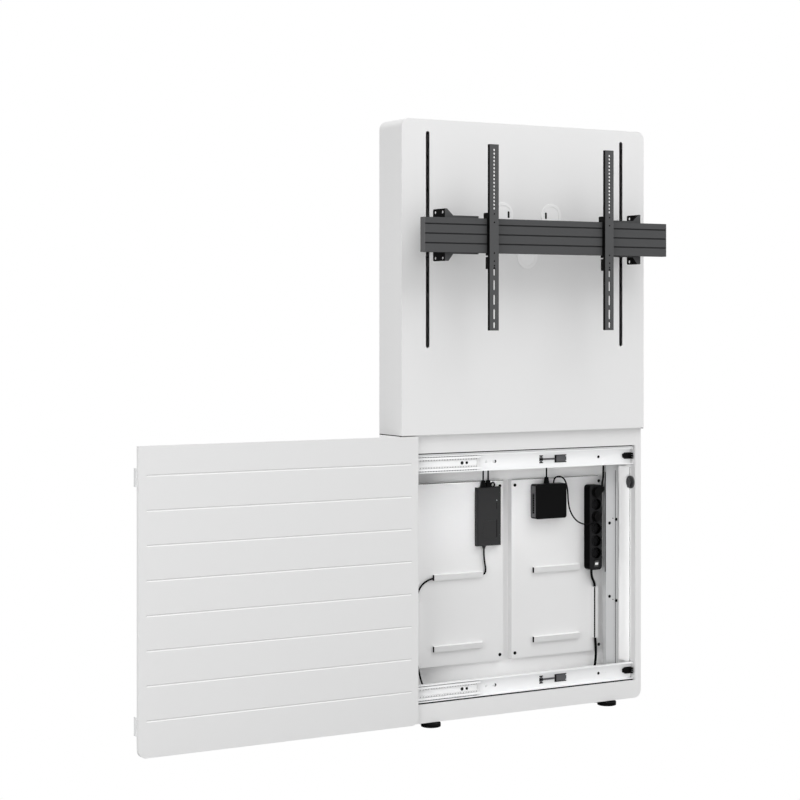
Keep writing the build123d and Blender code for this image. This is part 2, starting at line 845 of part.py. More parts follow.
with BuildPart() as door_brackets:
    for z in slide_levels:
        block((end_tab_left_x, inner_right_x), bracket_y, (z - bracket_half, z + bracket_half))
        block((end_tab_left_x, end_tab_left_x + end_tab_thickness),
              (depth(door_thickness), depth(end_tab_back_depth)), (z - bracket_half, z + bracket_half))
        for sign in (-1, 1):
            flange_z = sorted((z + sign * bracket_half, z + sign * (bracket_half - slide_sheet)))
            block((inner_left_x + bracket_left_inset, inner_right_x), (depth(sheet), depth(door_thickness)),
                  flange_z)
finish(door_brackets.part, "door_brackets")

hook_open_x = hook_x - door_travel

with BuildPart() as door_hook:
    block((hook_open_x, hook_open_x + hook_thickness), (depth(sheet), depth(hook_back_depth)),
          (lock_z - hook_half_height, lock_z + hook_half_height))
    block((hook_open_x, hook_open_x + hook_base_width), (depth(sheet), depth(sheet) + hook_thickness),
          (lock_z - hook_half_height, lock_z + hook_half_height))
finish(door_hook.part, "door_hook")

# Side lock: a barrel through the right wall, a key plug and its cam
rim_outer_x = housing_width / 2 + lock_rim_thickness

with BuildPart() as lock_barrel:
    with BuildSketch(side_plane(lock_nut_face_x)):
        with Locations((lock_y, lock_z)):
            Circle(lock_barrel_radius)
    extrude(amount=housing_width / 2 - lock_nut_face_x)
    with BuildSketch(side_plane(lock_nut_face_x)):
        with Locations((lock_y, lock_z)):
            Circle(lock_nut_radius)
    extrude(amount=frame_opening_half - lock_nut_face_x)
    with BuildSketch(side_plane(housing_width / 2)):
        with Locations((lock_y, lock_z)):
            Circle(lock_rim_radius)
    extrude(amount=lock_rim_thickness)
    with BuildSketch(side_plane(lock_nut_face_x - overrun)):
        with Locations((lock_y, lock_z)):
            Circle(lock_plug_radius + lock_clearance)
    extrude(amount=rim_outer_x - lock_nut_face_x + 2 * overrun, mode=Mode.SUBTRACT)
finish(lock_barrel.part, "lock_barrel")

plug_left_x = cam_left_x + cam_thickness

with BuildPart() as lock_plug:
    with BuildSketch(side_plane(plug_left_x)):
        with Locations((lock_y, lock_z)):
            Circle(lock_plug_radius)
    extrude(amount=rim_outer_x - plug_left_x)
    block((rim_outer_x - key_slot_depth, rim_outer_x + overrun),
          (lock_y - key_slot_width / 2, lock_y + key_slot_width / 2),
          (lock_z - key_slot_length / 2, lock_z + key_slot_length / 2), Mode.SUBTRACT)
finish(lock_plug.part, "lock_plug")

with BuildPart() as lock_cam:
    with BuildSketch(side_plane(cam_left_x)):
        with Locations((lock_y, lock_z)):
            Circle(cam_radius)
        rectangle_between((lock_y - cam_half_width, lock_y + cam_half_width),
                          (lock_z - cam_reach, lock_z))
    extrude(amount=cam_thickness)
finish(lock_cam.part, "lock_cam")

# Equipment trays
tray_y = depth(tray_front_depth)


def channel_ridge(plane, length, low_depth=channel_depth):
    """A cable channel along the plane's X axis: a raised bridge of sheet, open at both ends."""
    half = channel_width / 2
    with BuildPart() as ridge:
        with BuildSketch(Plane(origin=plane.origin - plane.x_dir * length / 2,
                               x_dir=plane.y_dir, z_dir=plane.x_dir)):
            with BuildLine():
                Polyline((-half, 0), (-half + channel_slope, low_depth),
                         (half - channel_slope, channel_depth), (half, 0), close=True)
            make_face()
            inner = half - channel_wall
            with BuildLine():
                Polyline((-inner, 0), (-inner + channel_slope, low_depth - channel_wall),
                         (inner - channel_slope, channel_depth - channel_wall), (inner, 0), close=True)
            make_face(mode=Mode.SUBTRACT)
        extrude(amount=length)
    return ridge.part


for name, side in (("left_tray", -1), ("right_tray", 1)):
    span = spans_for(side, tray_inner_x, tray_outer_x)
    upright = Plane(origin=(side * upright_channel_x, tray_y, upright_channel_z),
                    x_dir=(0, 0, 1), z_dir=(0, -1, 0))
    level_planes = [Plane(origin=(side * channel_centre_x, tray_y, z), x_dir=(1, 0, 0), z_dir=(0, -1, 0))
                    for z in (channel_lower_z, channel_upper_z)]
    ridges = [channel_ridge(plane, channel_length, channel_low_depth) for plane in level_planes]
    ridges.append(channel_ridge(upright, upright_channel_length))
    with BuildPart() as tray:
        block(span, (tray_y, inner_back_y), (tray_low_z, tray_high_z))
        block((span[0] + tray_sheet, span[1] - tray_sheet), (tray_y + tray_sheet, inner_back_y + overrun),
              (tray_low_z + tray_sheet, tray_high_z - tray_sheet), Mode.SUBTRACT)
        add(ridges)
    finish(tray.part, name)

with BuildPart() as black_screws:
    with BuildSketch(front_plane(tray_y)):
        for side in (-1, 1):
            for x in (tray_inner_x + tray_screw_inset, tray_outer_x - tray_screw_inset):
                with Locations((side * x, tray_low_z + tray_screw_drop),
                               (side * x, tray_high_z - tray_screw_drop)):
                    Circle(tray_screw_radius)
    extrude(amount=tray_screw_head)
    for base_y, places in ((post_front_y, post_face_screws),
                           (post_front_y + rail_post_groove_depth, post_groove_screws)):
        with BuildSketch(front_plane(base_y)):
            for side in (-1, 1):
                with Locations(*[(side * (rail_post_x + offset), z) for offset, z in places]):
                    Circle(post_screw_radius)
        extrude(amount=post_screw_head)
    with BuildSketch(front_plane(depth(outer_back_depth) - slide_sheet)):
        with Locations(*[(outer_hole_x, z) for z in slide_levels]):
            Circle(outer_screw_radius)
    extrude(amount=outer_screw_head)
finish(black_screws.part, "black_screws")

# Control box with its two plugs, a hanging lug and a lamp
control_y = depth(control_front_depth)

with BuildPart() as control_box:
    block((control_left_x, control_right_x), (control_y, tray_y), (control_low_z, control_high_z))
    chamfer(control_box.faces().sort_by(Axis.Y)[0].edges(), control_edge)
    relief_y = (control_y + tray_y) / 2
    with BuildSketch(Plane.XY.offset(control_low_z)):
        with Locations((relief_x, relief_y)):
            Circle(relief_radius)
    with BuildSketch(Plane.XY.offset(control_low_z - relief_length)):
        with Locations((relief_x, relief_y)):
            Circle(relief_tip_radius)
    loft()
finish(control_box.part, "control_box")


def tapered_plug(x, y, base_z, base_size, tip_size, height):
    """A moulded plug that narrows upwards, as a closed loft."""
    with BuildPart() as plug:
        with BuildSketch(Plane.XY.offset(base_z)):
            with Locations((x, y)):
                Rectangle(*base_size)
        with BuildSketch(Plane.XY.offset(base_z + height)):
            with Locations((x, y)):
                Rectangle(*tip_size)
        loft()
    return plug.part


motor_lead_y = depth(motor_lead_depth)
port_plugs = [tapered_plug(x, motor_lead_y, control_high_z, (port_plug_width, port_plug_depth),
                           (port_plug_tip_width, port_plug_tip_depth), port_plug_height)
              for x in port_plug_x]

with BuildPart() as control_plugs:
    add(port_plugs)
    with BuildSketch(front_plane(motor_lead_y + lug_thickness / 2)):
        with Locations((lug_x, control_high_z + lug_rise)):
            Circle(lug_radius)
            Circle(lug_hole_radius, mode=Mode.SUBTRACT)
        rectangle_between((lug_x - lug_radius, lug_x + lug_radius),
                          (control_high_z - lug_radius, control_high_z), Mode.SUBTRACT)
    extrude(amount=lug_thickness)
    with BuildSketch(front_plane(control_y)):
        with Locations((lamp_x, lamp_z)):
            Circle(lamp_radius)
    extrude(amount=lamp_proud)
finish(control_plugs.part, "control_plugs")

# Media player, with vents in its left side
player_y = depth(player_front_depth)
vent_pitch = (vent_high_z - vent_low_z) / (vent_count - 1)

with BuildPart() as media_player:
    block((player_left_x, player_right_x), (player_y, tray_y), (player_low_z, player_high_z))
    fillet(media_player.edges().filter_by(Axis.Y), player_corner)
    chamfer(media_player.faces().sort_by(Axis.Y)[0].edges(), player_edge)
    for step in range(vent_count):
        vent_z = vent_low_z + step * vent_pitch
        block((player_left_x - overrun, player_left_x + vent_cut),
              (depth(vent_depth) - vent_width / 2, depth(vent_depth) + vent_width / 2),
              (vent_z - vent_height / 2, vent_z + vent_height / 2), Mode.SUBTRACT)
finish(media_player.part, "media_player")

# Power strip with six round sockets and a rocker switch
strip_box_y = depth(strip_box_front_depth)
socket_x = (strip_box_left_x + strip_box_right_x) / 2
sockets_z = [socket_top_z - step * socket_pitch for step in range(socket_count)]

with BuildPart() as power_strip:
    block((strip_box_left_x, strip_box_right_x), (strip_box_y, tray_y), (strip_box_low_z, strip_box_high_z))
    fillet(power_strip.edges().filter_by(Axis.Y), strip_box_corner)
    chamfer(power_strip.faces().sort_by(Axis.Y)[0].edges(), strip_box_edge)
    with BuildSketch(front_plane(strip_box_y + socket_recess)):
        with Locations(*[(socket_x, z) for z in sockets_z]):
            Circle(socket_radius)
    extrude(amount=socket_recess + overrun, mode=Mode.SUBTRACT)
    with BuildSketch(front_plane(strip_box_y + socket_recess + contact_hole_depth)):
        with Locations(*[(socket_x, z + sign * contact_hole_offset) for z in sockets_z for sign in (-1, 1)]):
            Circle(contact_hole_radius)
    extrude(amount=contact_hole_depth + overrun, mode=Mode.SUBTRACT)
    pocket_half_width = rocker_half_width + rocker_pocket_gap
    pocket_half_height = sqrt(rocker_half_height ** 2 + (rocker_thickness / 2) ** 2) + rocker_pocket_gap
    block((socket_x - pocket_half_width, socket_x + pocket_half_width),
          (strip_box_y - overrun, strip_box_y + rocker_pocket_depth),
          (rocker_z - pocket_half_height, rocker_z + pocket_half_height), Mode.SUBTRACT)
finish(power_strip.part, "power_strip")

rocker_y = strip_box_y + rocker_thickness / 2 - rocker_proud

with BuildPart() as power_switch:
    with Locations(Location((socket_x, rocker_y, rocker_z), (rocker_tilt, 0, 0))):
        Box(2 * rocker_half_width, rocker_thickness, 2 * rocker_half_height)
    for sign in (-1, 1):
        block(spans_for(1, socket_x + sign * rocker_half_width, socket_x + sign * pocket_half_width),
              (rocker_y - pin_radius / 2, rocker_y + pin_radius / 2),
              (rocker_z - pin_radius / 2, rocker_z + pin_radius / 2))
finish(power_switch.part, "power_switch")



def flat_plug(socket, nose):
    """A flat angled plug pushed into one socket, with a nose that its lead leaves by."""
    z = sockets_z[socket - 1]
    with BuildPart() as plug:
        with BuildSketch(front_plane(strip_box_y + flat_plug_sink)):
            with Locations((socket_x, z)):
                Circle(flat_plug_radius)
        extrude(amount=flat_plug_sink + flat_plug_back)
        with BuildSketch(front_plane(strip_box_y - flat_plug_back)):
            with Locations((socket_x, z)):
                Circle(flat_plug_cap_radius)
            with BuildLine():
                Polyline(*nose, close=True)
            make_face()
        extrude(amount=flat_plug_proud - flat_plug_back)
        with BuildSketch(front_plane(strip_box_y + flat_plug_sink)):
            with Locations((socket_x, z + contact_hole_offset), (socket_x, z - contact_hole_offset)):
                Circle(pin_radius)
        extrude(amount=-pin_length)
    return plug.part


player_plug = flat_plug(player_socket_count, player_nose)
finish(player_plug, "player_plug")

# Mains inlet and the lead sockets under the divider
inlet_y = depth(inlet_front_depth)

with BuildPart() as mains_inlet:
    block((inlet_left_x, inlet_right_x), (inlet_y, inner_back_y), (floor_top_z, floor_top_z + inlet_height))
    block((inlet_middle_x - inlet_mouth_width / 2, inlet_middle_x + inlet_mouth_width / 2),
          (inner_back_y - inlet_mouth_depth, inner_back_y + overrun),
          (inlet_middle_z - inlet_mouth_height / 2, inlet_middle_z + inlet_mouth_height / 2), Mode.SUBTRACT)
    for step in (-1, 0, 1):
        pin_x = inlet_middle_x + step * inlet_pin_pitch
        block((pin_x - inlet_pin_width / 2, pin_x + inlet_pin_width / 2),
              (inner_back_y - inlet_mouth_depth, inner_back_y - inlet_pin_height),
              (inlet_middle_z - inlet_pin_height / 2, inlet_middle_z + inlet_pin_height / 2))
finish(mains_inlet.part, "mains_inlet")

device_lead_y = depth(device_lead_depth)
display_lead_y = depth(display_lead_depth)
socket_bottom_z = seam_z - lead_socket_height

with BuildPart() as lead_sockets:
    for x, y, radius in ((video_plug_x, device_lead_y, video_socket_radius),
                         (display_lead_x, display_lead_y, display_socket_radius)):
        with Locations((x, y, socket_bottom_z)):
            Cylinder(radius, lead_socket_height, align=(Align.CENTER, Align.CENTER, Align.MIN))
finish(lead_sockets.part, "lead_sockets")


def lead_radii(points, limit):
    """Arc radius at each inner point, as large as its two runs allow."""
    radii = []
    corners = [Vector(*point) for point in points]
    for before, corner, after in zip(corners, corners[1:], corners[2:]):
        run_in, run_out = corner - before, after - corner
        half_turn = radians(run_in.get_angle(run_out)) / 2
        radius = run_share * min(run_in.length, run_out.length) / tan(half_turn)
        radii.append(min(radius, limit) if limit else radius)
    return radii


def lead_tube(name, route, diameter, limit=None):
    """A lead as one tube along straight runs joined by tangent arcs."""
    points = [(x, depth(distance), z) for x, distance, z in route]
    radii = lead_radii(points, limit)
    with BuildPart() as lead:
        with BuildLine() as line:
            if radii:
                FilletPolyline(*points, radius=radii)
            else:
                Line(*points)
        path = line.wire()
        with BuildSketch(Plane(origin=path @ 0, z_dir=path % 0)):
            Circle(diameter / 2)
        sweep(path=path)
    ideal = path.length * pi * (diameter / 2) ** 2
    print(name, "length", round(path.length, 1), "radii", [round(radius, 1) for radius in radii],
          "volume share", round(lead.part.volume / ideal, 4))
    return lead.part


# Leads that the object holds, each as points of X, depth behind the front, and Z
control_route = [(-88.0, 98.0, 488.0), (-88.0, 98.0, 472.0), (-84.5, 100.0, 450.0), (-79.5, 101.5, 431.0),
                 (-80.0, 101.5, 419.0), (-84.5, 101.5, 413.6), (-95.0, 101.5, 413.0),
                 (-248.0, 101.5, 413.0), (-276.0, 101.5, 409.0), (-300.0, 101.5, 395.0),
                 (-314.0, 101.5, 372.0), (-316.5, 101.5, 346.0), (-316.5, 101.5, 198.0),
                 (-314.0, 101.5, 168.0), (-306.0, 101.5, 134.0), (-296.0, 102.0, 104.0),
                 (-278.0, 102.0, 68.0), (-246.0, 102.0, 34.0), (-206.0, 102.0, 20.0),
                 (110.0, 102.0, 20.0), (132.0, 102.0, 23.0), (152.0, 102.0, 30.0), (180.0, 102.0, 30.0)]
strip_route = [(297.0, 93.0, 403.3), (297.0, 93.0, 391.0), (302.0, 96.0, 376.0), (313.0, 100.5, 362.0),
               (316.5, 101.5, 345.0), (316.5, 101.5, 196.0), (320.0, 101.5, 168.0), (320.0, 101.5, 132.0),
               (315.0, 102.0, 98.0), (300.0, 102.0, 66.0), (282.0, 102.0, 45.0), (262.0, 102.0, 37.0),
               (240.0, 102.0, 37.0)]
display_route = [(display_lead_x, display_lead_depth, socket_bottom_z),
                 (display_lead_x, display_lead_depth, 704.0),
                 (318.8, 62.0, 684.0), (320.3, 69.0, 668.0), (320.3, 69.0, 656.0)]
motor_leads_z = divider_top_z + thin_lead / 2 + seat_gap
terminal_z = divider_top_z + terminal_height / 2
terminal_face_depth = spindle_depth + motor_flange_half + terminal_depth
motor_routes = []
for side, start_x in zip((-1, 1), port_plug_x):
    motor_routes.append([(start_x, motor_lead_depth, control_high_z + port_plug_height),
                         (start_x, motor_lead_depth, motor_leads_z),
                         (side * motor_lead_turn_x, motor_lead_depth, motor_leads_z),
                         (side * spindle_x, motor_lead_turn_depth, terminal_z),
                         (side * spindle_x, terminal_face_depth, terminal_z)])

control_lead = lead_tube("control_lead", control_route, control_lead_diameter)
finish(control_lead, "control_lead")
strip_lead = lead_tube("strip_lead", strip_route, mains_lead_diameter)
finish(strip_lead, "strip_lead")
motor_tubes = [lead_tube("motor_lead", route, thin_lead, bend_limit) for route in motor_routes]

with BuildPart() as motor_leads:
    add(motor_tubes)
finish(motor_leads.part, "motor_leads")

display_tube = lead_tube("display_lead", display_route, display_lead_diameter, bend_limit)
display_plug = flat_plug(display_socket_count, display_nose)

with BuildPart() as display_lead:
    add([display_tube, display_plug])
finish(display_lead.part, "display_lead")

video_plug = tapered_plug(video_plug_x, device_lead_y, player_high_z, (video_plug_width, video_plug_width),
                          (video_plug_tip_width, video_plug_tip_width), video_plug_height)

with BuildPart() as video_lead:
    add(video_plug)
    with Locations((video_plug_x, device_lead_y, player_high_z + video_plug_height)):
        Cylinder(thin_lead / 2, socket_bottom_z - player_high_z - video_plug_height,
                 align=(Align.CENTER, Align.CENTER, Align.MIN))
finish(video_lead.part, "video_lead")

# The media player's power lead hangs free between the player and its plug
power_route = [(156.0, 90.0, 671.5), (156.0, 90.0, 681.0), (162.0, 89.0, 690.0), (176.0, 88.0, 692.5),
               (190.0, 86.0, 686.5), (199.0, 84.0, 669.0), (201.5, 81.0, 644.0), (201.0, 79.0, 619.0),
               (203.5, 77.0, 596.0), (212.0, 74.0, 574.0), (226.0, 71.0, 557.0), (243.0, 69.0, 547.5),
               (262.0, 68.0, 543.8), (277.0, 68.0, 544.3), (288.0, 68.0, 547.3), (297.5, 68.0, 551.5)]
player_power_lead = lead_tube("player_power_lead", power_route, thin_lead)
finish(player_power_lead, "player_power_lead")

# Lift carriages, each with the nut that its spindle drives
carriage_top_z = carriage_low_z + carriage_height
slide_gap_side = rail_post_width / 2 + post_clearance
carriage_front_y = depth(carriage_front_depth)
carriage_plate_back = carriage_front_y + carriage_plate
lip_front_y = post_back_y + post_clearance

with BuildPart() as carriages:
    for side in (-1, 1):
        z_span = (carriage_low_z, carriage_top_z)
        near = rail_post_x - slide_gap_side - carriage_side
        far = rail_post_x + slide_gap_side + carriage_side
        block(spans_for(side, near, far), (carriage_front_y, carriage_plate_back), z_span)
        for edge, inward in ((near, 1), (far, -1)):
            block(spans_for(side, edge, edge + inward * carriage_side),
                  (carriage_plate_back, lip_front_y + carriage_lip_thickness), z_span)
            block(spans_for(side, edge, edge + inward * carriage_lip_width),
                  (lip_front_y, lip_front_y + carriage_lip_thickness), z_span)
        block(spans_for(side, near, spindle_x - nut_block_width / 2),
              (spindle_y - nut_radius, carriage_plate_back), z_span)
        with Locations((side * spindle_x, spindle_y, carriage_low_z)):
            Cylinder(spindle_radius + spindle_clearance, carriage_height,
                     align=(Align.CENTER, Align.CENTER, Align.MIN), mode=Mode.SUBTRACT)
finish(carriages.part, "carriages")

# Spindles, motors and their terminal boxes
motor_top_z = divider_top_z + motor_low_lift + motor_length + motor_gear_height
spindle_top_z = mount_top_z - mount_height

for name, side in (("spindle_left", -1), ("spindle_right", 1)):
    with BuildPart() as spindle:
        with Locations((side * spindle_x, spindle_y, motor_top_z + seat_gap)):
            Cylinder(spindle_radius, spindle_top_z - motor_top_z - 2 * seat_gap,
                     align=(Align.CENTER, Align.CENTER, Align.MIN))
        with Locations((side * spindle_x, spindle_y, spindle_top_z - seat_gap)):
            Cylinder(spindle_tip_radius, spindle_tip_length,
                     align=(Align.CENTER, Align.CENTER, Align.MIN))
    finish(spindle.part, name)

with BuildPart() as lift_motors:
    for side in (-1, 1):
        x = side * spindle_x
        block((x - motor_flange_half, x + motor_flange_half),
              (spindle_y - motor_flange_half, spindle_y + motor_flange_half),
              (divider_top_z, divider_top_z + motor_low_lift))
        with Locations((x, spindle_y, divider_top_z + motor_low_lift)):
            Cylinder(motor_radius, motor_length, align=(Align.CENTER, Align.CENTER, Align.MIN))
        with Locations((x, spindle_y, motor_top_z - motor_gear_height)):
            Cylinder(motor_gear_radius, motor_gear_height, align=(Align.CENTER, Align.CENTER, Align.MIN))
        block((x - terminal_half, x + terminal_half),
              (spindle_y + motor_flange_half, spindle_y + motor_flange_half + terminal_depth),
              (divider_top_z, divider_top_z + terminal_height))
finish(lift_motors.part, "lift_motors")

# Brackets: an arm through the slot, two ears with holes, and a flange behind the display rail
arm_back_y = carriage_front_y

for name, side in (("bracket_left", -1), ("bracket_right", 1)):
    with BuildPart() as bracket:
        with BuildSketch(side_plane(side * slot_x - bracket_plate / 2)):
            rectangle_between((depth(flange_front_depth), depth(ear_back_depth)), (ear_low_z, ear_high_z))
            fillet(vertices().group_by(Axis.X)[-1], ear_corner)
            rectangle_between((depth(ear_back_depth) - ear_corner, arm_back_y), (arm_low_z, arm_high_z))
            with Locations(*[(depth(d), z) for d in ear_hole_depths
                             for z in (ear_hole_low_z, ear_hole_high_z)]):
                Circle(ear_hole_radius, mode=Mode.SUBTRACT)
        extrude(amount=bracket_plate)
        outer_x = slot_x + bracket_plate / 2
        with BuildSketch(front_plane(depth(flange_front_depth) + flange_plate)):
            with BuildLine():
                Polyline(*[(side * x, z) for x, z in (
                    (outer_x, ear_low_z), (outer_x, ear_high_z), (flange_top_x, ear_high_z),
                    (flange_shoulder_x, flange_high_z), (flange_inner_x, flange_high_z),
                    (flange_inner_x, flange_low_z), (flange_shoulder_x, flange_low_z),
                    (flange_top_x - ear_corner, ear_low_z))], close=True)
            make_face()
        extrude(amount=flange_plate)
    finish(bracket.part, name)

# Display rail: a hollow extrusion with front grooves and a hook groove above and below
rail_front_y = depth(flange_front_depth) - display_rail_depth
rail_body_half = display_rail_length / 2 - end_cap_thickness
groove_y = (rail_front_y + hook_groove_front, rail_front_y + hook_groove_front + hook_groove_width)
cavity_edges = [display_rail_high_z - hook_groove_depth, *rail_grooves_z,
                display_rail_low_z + hook_groove_depth]


def rail_cavities():
    """Y and Z spans of the hollow cells inside the rail, one behind each front rib."""
    y_span = (rail_front_y + rail_groove_depth + display_rail_wall, rail_front_y + display_rail_depth
              - display_rail_wall)
    return [(y_span, (lower + display_rail_wall, upper - display_rail_wall))
            for upper, lower in zip(cavity_edges, cavity_edges[1:])]


with BuildPart() as display_rail:
    with BuildSketch(side_plane(-rail_body_half)):
        rectangle_between((rail_front_y, rail_front_y + display_rail_depth),
                          (display_rail_low_z, display_rail_high_z))
        fillet(vertices(), rail_edge_radius)
        for groove_z in rail_grooves_z:
            rectangle_between((rail_front_y - overrun, rail_front_y + rail_groove_depth),
                              (groove_z - rail_groove_width / 2, groove_z + rail_groove_width / 2),
                              Mode.SUBTRACT)
        rectangle_between(groove_y, (display_rail_high_z - hook_groove_depth, display_rail_high_z + overrun),
                          Mode.SUBTRACT)
        rectangle_between(groove_y, (display_rail_low_z - overrun, display_rail_low_z + hook_groove_depth),
                          Mode.SUBTRACT)
        for y_span, z_span in rail_cavities():
            rectangle_between(y_span, z_span, Mode.SUBTRACT)
    extrude(amount=2 * rail_body_half)
finish(display_rail.part, "display_rail")

spigot_y, spigot_z = rail_cavities()[1]
spigot_low_z = (spigot_z[0] + spigot_z[1] - cap_spigot_height) / 2

with BuildPart() as rail_end_caps:
    for side in (-1, 1):
        with BuildSketch(side_plane(side * rail_body_half)):
            rectangle_between((rail_front_y, rail_front_y + display_rail_depth),
                              (display_rail_low_z, display_rail_high_z))
            fillet(vertices(), rail_edge_radius)
        extrude(amount=side * end_cap_thickness)
        block(spans_for(side, rail_body_half - cap_spigot_length, rail_body_half),
              (spigot_y[0] + cap_spigot_gap, spigot_y[1] - cap_spigot_gap),
              (spigot_low_z, spigot_low_z + cap_spigot_height))
finish(rail_end_caps.part, "rail_end_caps")

# Display strips with their hooks and latches
strip_y = depth(strip_front_depth)
strip_back_y = strip_y + strip_channel_depth
leg_back_y = rail_front_y - clamp_gap

for name, side in (("left", -1), ("right", 1)):
    centre_x = side * strip_x
    low_x, high_x = centre_x - strip_width / 2, centre_x + strip_width / 2
    with BuildPart() as display_strip:
        block((low_x, high_x), (strip_y, strip_back_y), (strip_low_z, strip_high_z))
        chamfer(display_strip.faces().sort_by(Axis.Y)[0].edges().filter_by(Axis.Z), strip_edge)
        block((low_x + strip_sheet, high_x - strip_sheet), (strip_y + strip_sheet, strip_back_y + overrun),
              (strip_low_z - overrun, strip_high_z + overrun), Mode.SUBTRACT)
        with BuildSketch(front_plane(strip_y + strip_sheet + overrun)):
            with Locations(*[(centre_x, strip_hole_top_z - step * strip_hole_pitch)
                             for step in range(strip_hole_count)]):
                Circle(strip_hole_radius)
            with Locations(*[(centre_x, z) for z in strip_small_holes_z]):
                Circle(strip_small_hole_radius)
            for slot_low, slot_high in strip_slots_z:
                with Locations((centre_x, (slot_low + slot_high) / 2)):
                    SlotOverall(slot_high - slot_low, strip_slot_width, rotation=90)
        extrude(amount=strip_sheet + 2 * overrun, mode=Mode.SUBTRACT)
    finish(display_strip.part, f"display_strip_{name}")

    hook_y = leg_back_y + clamp_gap + hook_back_reach
    tongue_top_z = display_rail_low_z - clamp_gap
    with BuildPart() as strip_clamp:
        block((low_x, high_x), (strip_back_y, leg_back_y), (hook_low_z, hook_high_z))
        block((low_x, high_x), (leg_back_y, hook_y), (display_rail_high_z + clamp_gap, hook_high_z))
        fillet(strip_clamp.faces().sort_by(Axis.Z)[-1].edges().filter_by(Axis.X), hook_corner)
        block((low_x, high_x), (hook_y - hook_lip, hook_y),
              (display_rail_high_z - hook_lip_drop, display_rail_high_z + 2 * clamp_gap))
        block((low_x, high_x), (strip_back_y, strip_back_y + latch_thickness), (latch_low_z, latch_high_z))
        tongue_x = (centre_x - latch_tongue_half, centre_x + latch_tongue_half)
        block(tongue_x, (strip_back_y, leg_back_y), (latch_high_z, hook_low_z))
        block(tongue_x, (strip_back_y, hook_y), (tongue_top_z - latch_bridge_drop, tongue_top_z))
        block(tongue_x, (hook_y - hook_lip, hook_y), (tongue_top_z, display_rail_low_z + hook_lip_drop))
        with Locations((centre_x, strip_back_y + latch_thickness / 2, latch_low_z)):
            Cylinder(latch_screw_radius, latch_screw_length, align=(Align.CENTER, Align.CENTER, Align.MAX))
    finish(strip_clamp.part, f"strip_clamp_{name}")

# Cable outlets: fixed rings, and round caps that turn in them
with BuildPart() as outlet_rings:
    with BuildSketch(front_plane(front_y)):
        with Locations(*outlet_places):
            Circle(outlet_flange_radius)
            Circle(outlet_bore_radius, mode=Mode.SUBTRACT)
    extrude(amount=outlet_flange_thickness)
    with BuildSketch(front_plane(front_y + outlet_sleeve_length)):
        with Locations(*outlet_places):
            Circle(outlet_hole_radius - web_gap)
            Circle(outlet_bore_radius, mode=Mode.SUBTRACT)
    extrude(amount=outlet_sleeve_length)
finish(outlet_rings.part, "outlet_rings")

cap_notches = {"outlet_cap_left": (0, 1), "outlet_cap_right": (1, -1), "outlet_cap_lower": (2, 1)}

for name, (place, direction) in cap_notches.items():
    outlet_x, outlet_z = outlet_places[place]
    with BuildPart() as outlet_cap:
        with BuildSketch(front_plane(front_y - cap_proud + cap_thickness)):
            with Locations((outlet_x, outlet_z)):
                Circle(outlet_bore_radius - cap_clearance)
            notch = (outlet_x + direction * notch_offset, outlet_z)
            if name == "outlet_cap_lower":
                notch = (outlet_x, outlet_z + notch_offset)
            with Locations(notch):
                SlotOverall(notch_height, notch_width, rotation=0 if name == "outlet_cap_lower" else 90,
                            mode=Mode.SUBTRACT)
        extrude(amount=cap_thickness)
    finish(outlet_cap.part, name)
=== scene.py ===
"""Motorised display lift in a steel housing, seen from the front left with its sliding door open."""
import json
import math

import bpy
import numpy as np
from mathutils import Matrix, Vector


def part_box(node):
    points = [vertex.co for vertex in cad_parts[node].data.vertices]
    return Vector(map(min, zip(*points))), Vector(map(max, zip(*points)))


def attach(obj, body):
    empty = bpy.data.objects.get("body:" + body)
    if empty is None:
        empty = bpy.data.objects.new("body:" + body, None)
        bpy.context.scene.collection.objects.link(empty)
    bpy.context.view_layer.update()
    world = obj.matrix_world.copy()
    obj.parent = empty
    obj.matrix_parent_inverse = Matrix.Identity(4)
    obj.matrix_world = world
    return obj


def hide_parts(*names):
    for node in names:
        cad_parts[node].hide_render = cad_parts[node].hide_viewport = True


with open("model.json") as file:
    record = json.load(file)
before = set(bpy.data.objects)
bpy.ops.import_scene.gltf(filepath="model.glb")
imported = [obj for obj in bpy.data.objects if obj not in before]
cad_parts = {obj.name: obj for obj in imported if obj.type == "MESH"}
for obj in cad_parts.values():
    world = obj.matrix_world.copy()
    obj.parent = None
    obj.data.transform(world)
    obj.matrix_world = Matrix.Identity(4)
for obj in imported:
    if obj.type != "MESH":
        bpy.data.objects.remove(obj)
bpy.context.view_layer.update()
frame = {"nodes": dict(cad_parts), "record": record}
nodes = frame["nodes"]
slot_of = {part["node"]: part["material_slot"] for part in frame["record"]["subparts"]}

# Sizes and places are in millimetres. A depth is counted backwards from the upper housing's front face.
MM = 0.001
SIDES = (-1, 1)
RIGHT, BACK, FRONT, UP = (1.0, 0.0, 0.0), (0.0, 1.0, 0.0), (0.0, -1.0, 0.0), (0.0, 0.0, 1.0)


def box_mm(name):
    """The low and the high corner of a node, in millimetres to a thousandth."""
    return [np.round(np.array(corner) / MM, 3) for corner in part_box(name)]


FRONT_Y = box_mm("upper_front_panel")[0][1]


def front_depth(name):
    """The depth of a node's front."""
    return box_mm(name)[0][1] - FRONT_Y


def back_depth(name):
    """The depth of a node's back."""
    return box_mm(name)[1][1] - FRONT_Y


def at(x, depth, z):
    """A point in metres from X, a depth and Z in millimetres."""
    return Vector((x * MM, (FRONT_Y + depth) * MM, z * MM))


def places(x, depth, z):
    """Points in metres from arrays of X, depth and Z in millimetres, one point to a row."""
    return np.stack(np.broadcast_arrays(x * MM, (FRONT_Y + depth) * MM, z * MM), axis=-1).reshape(-1, 3)


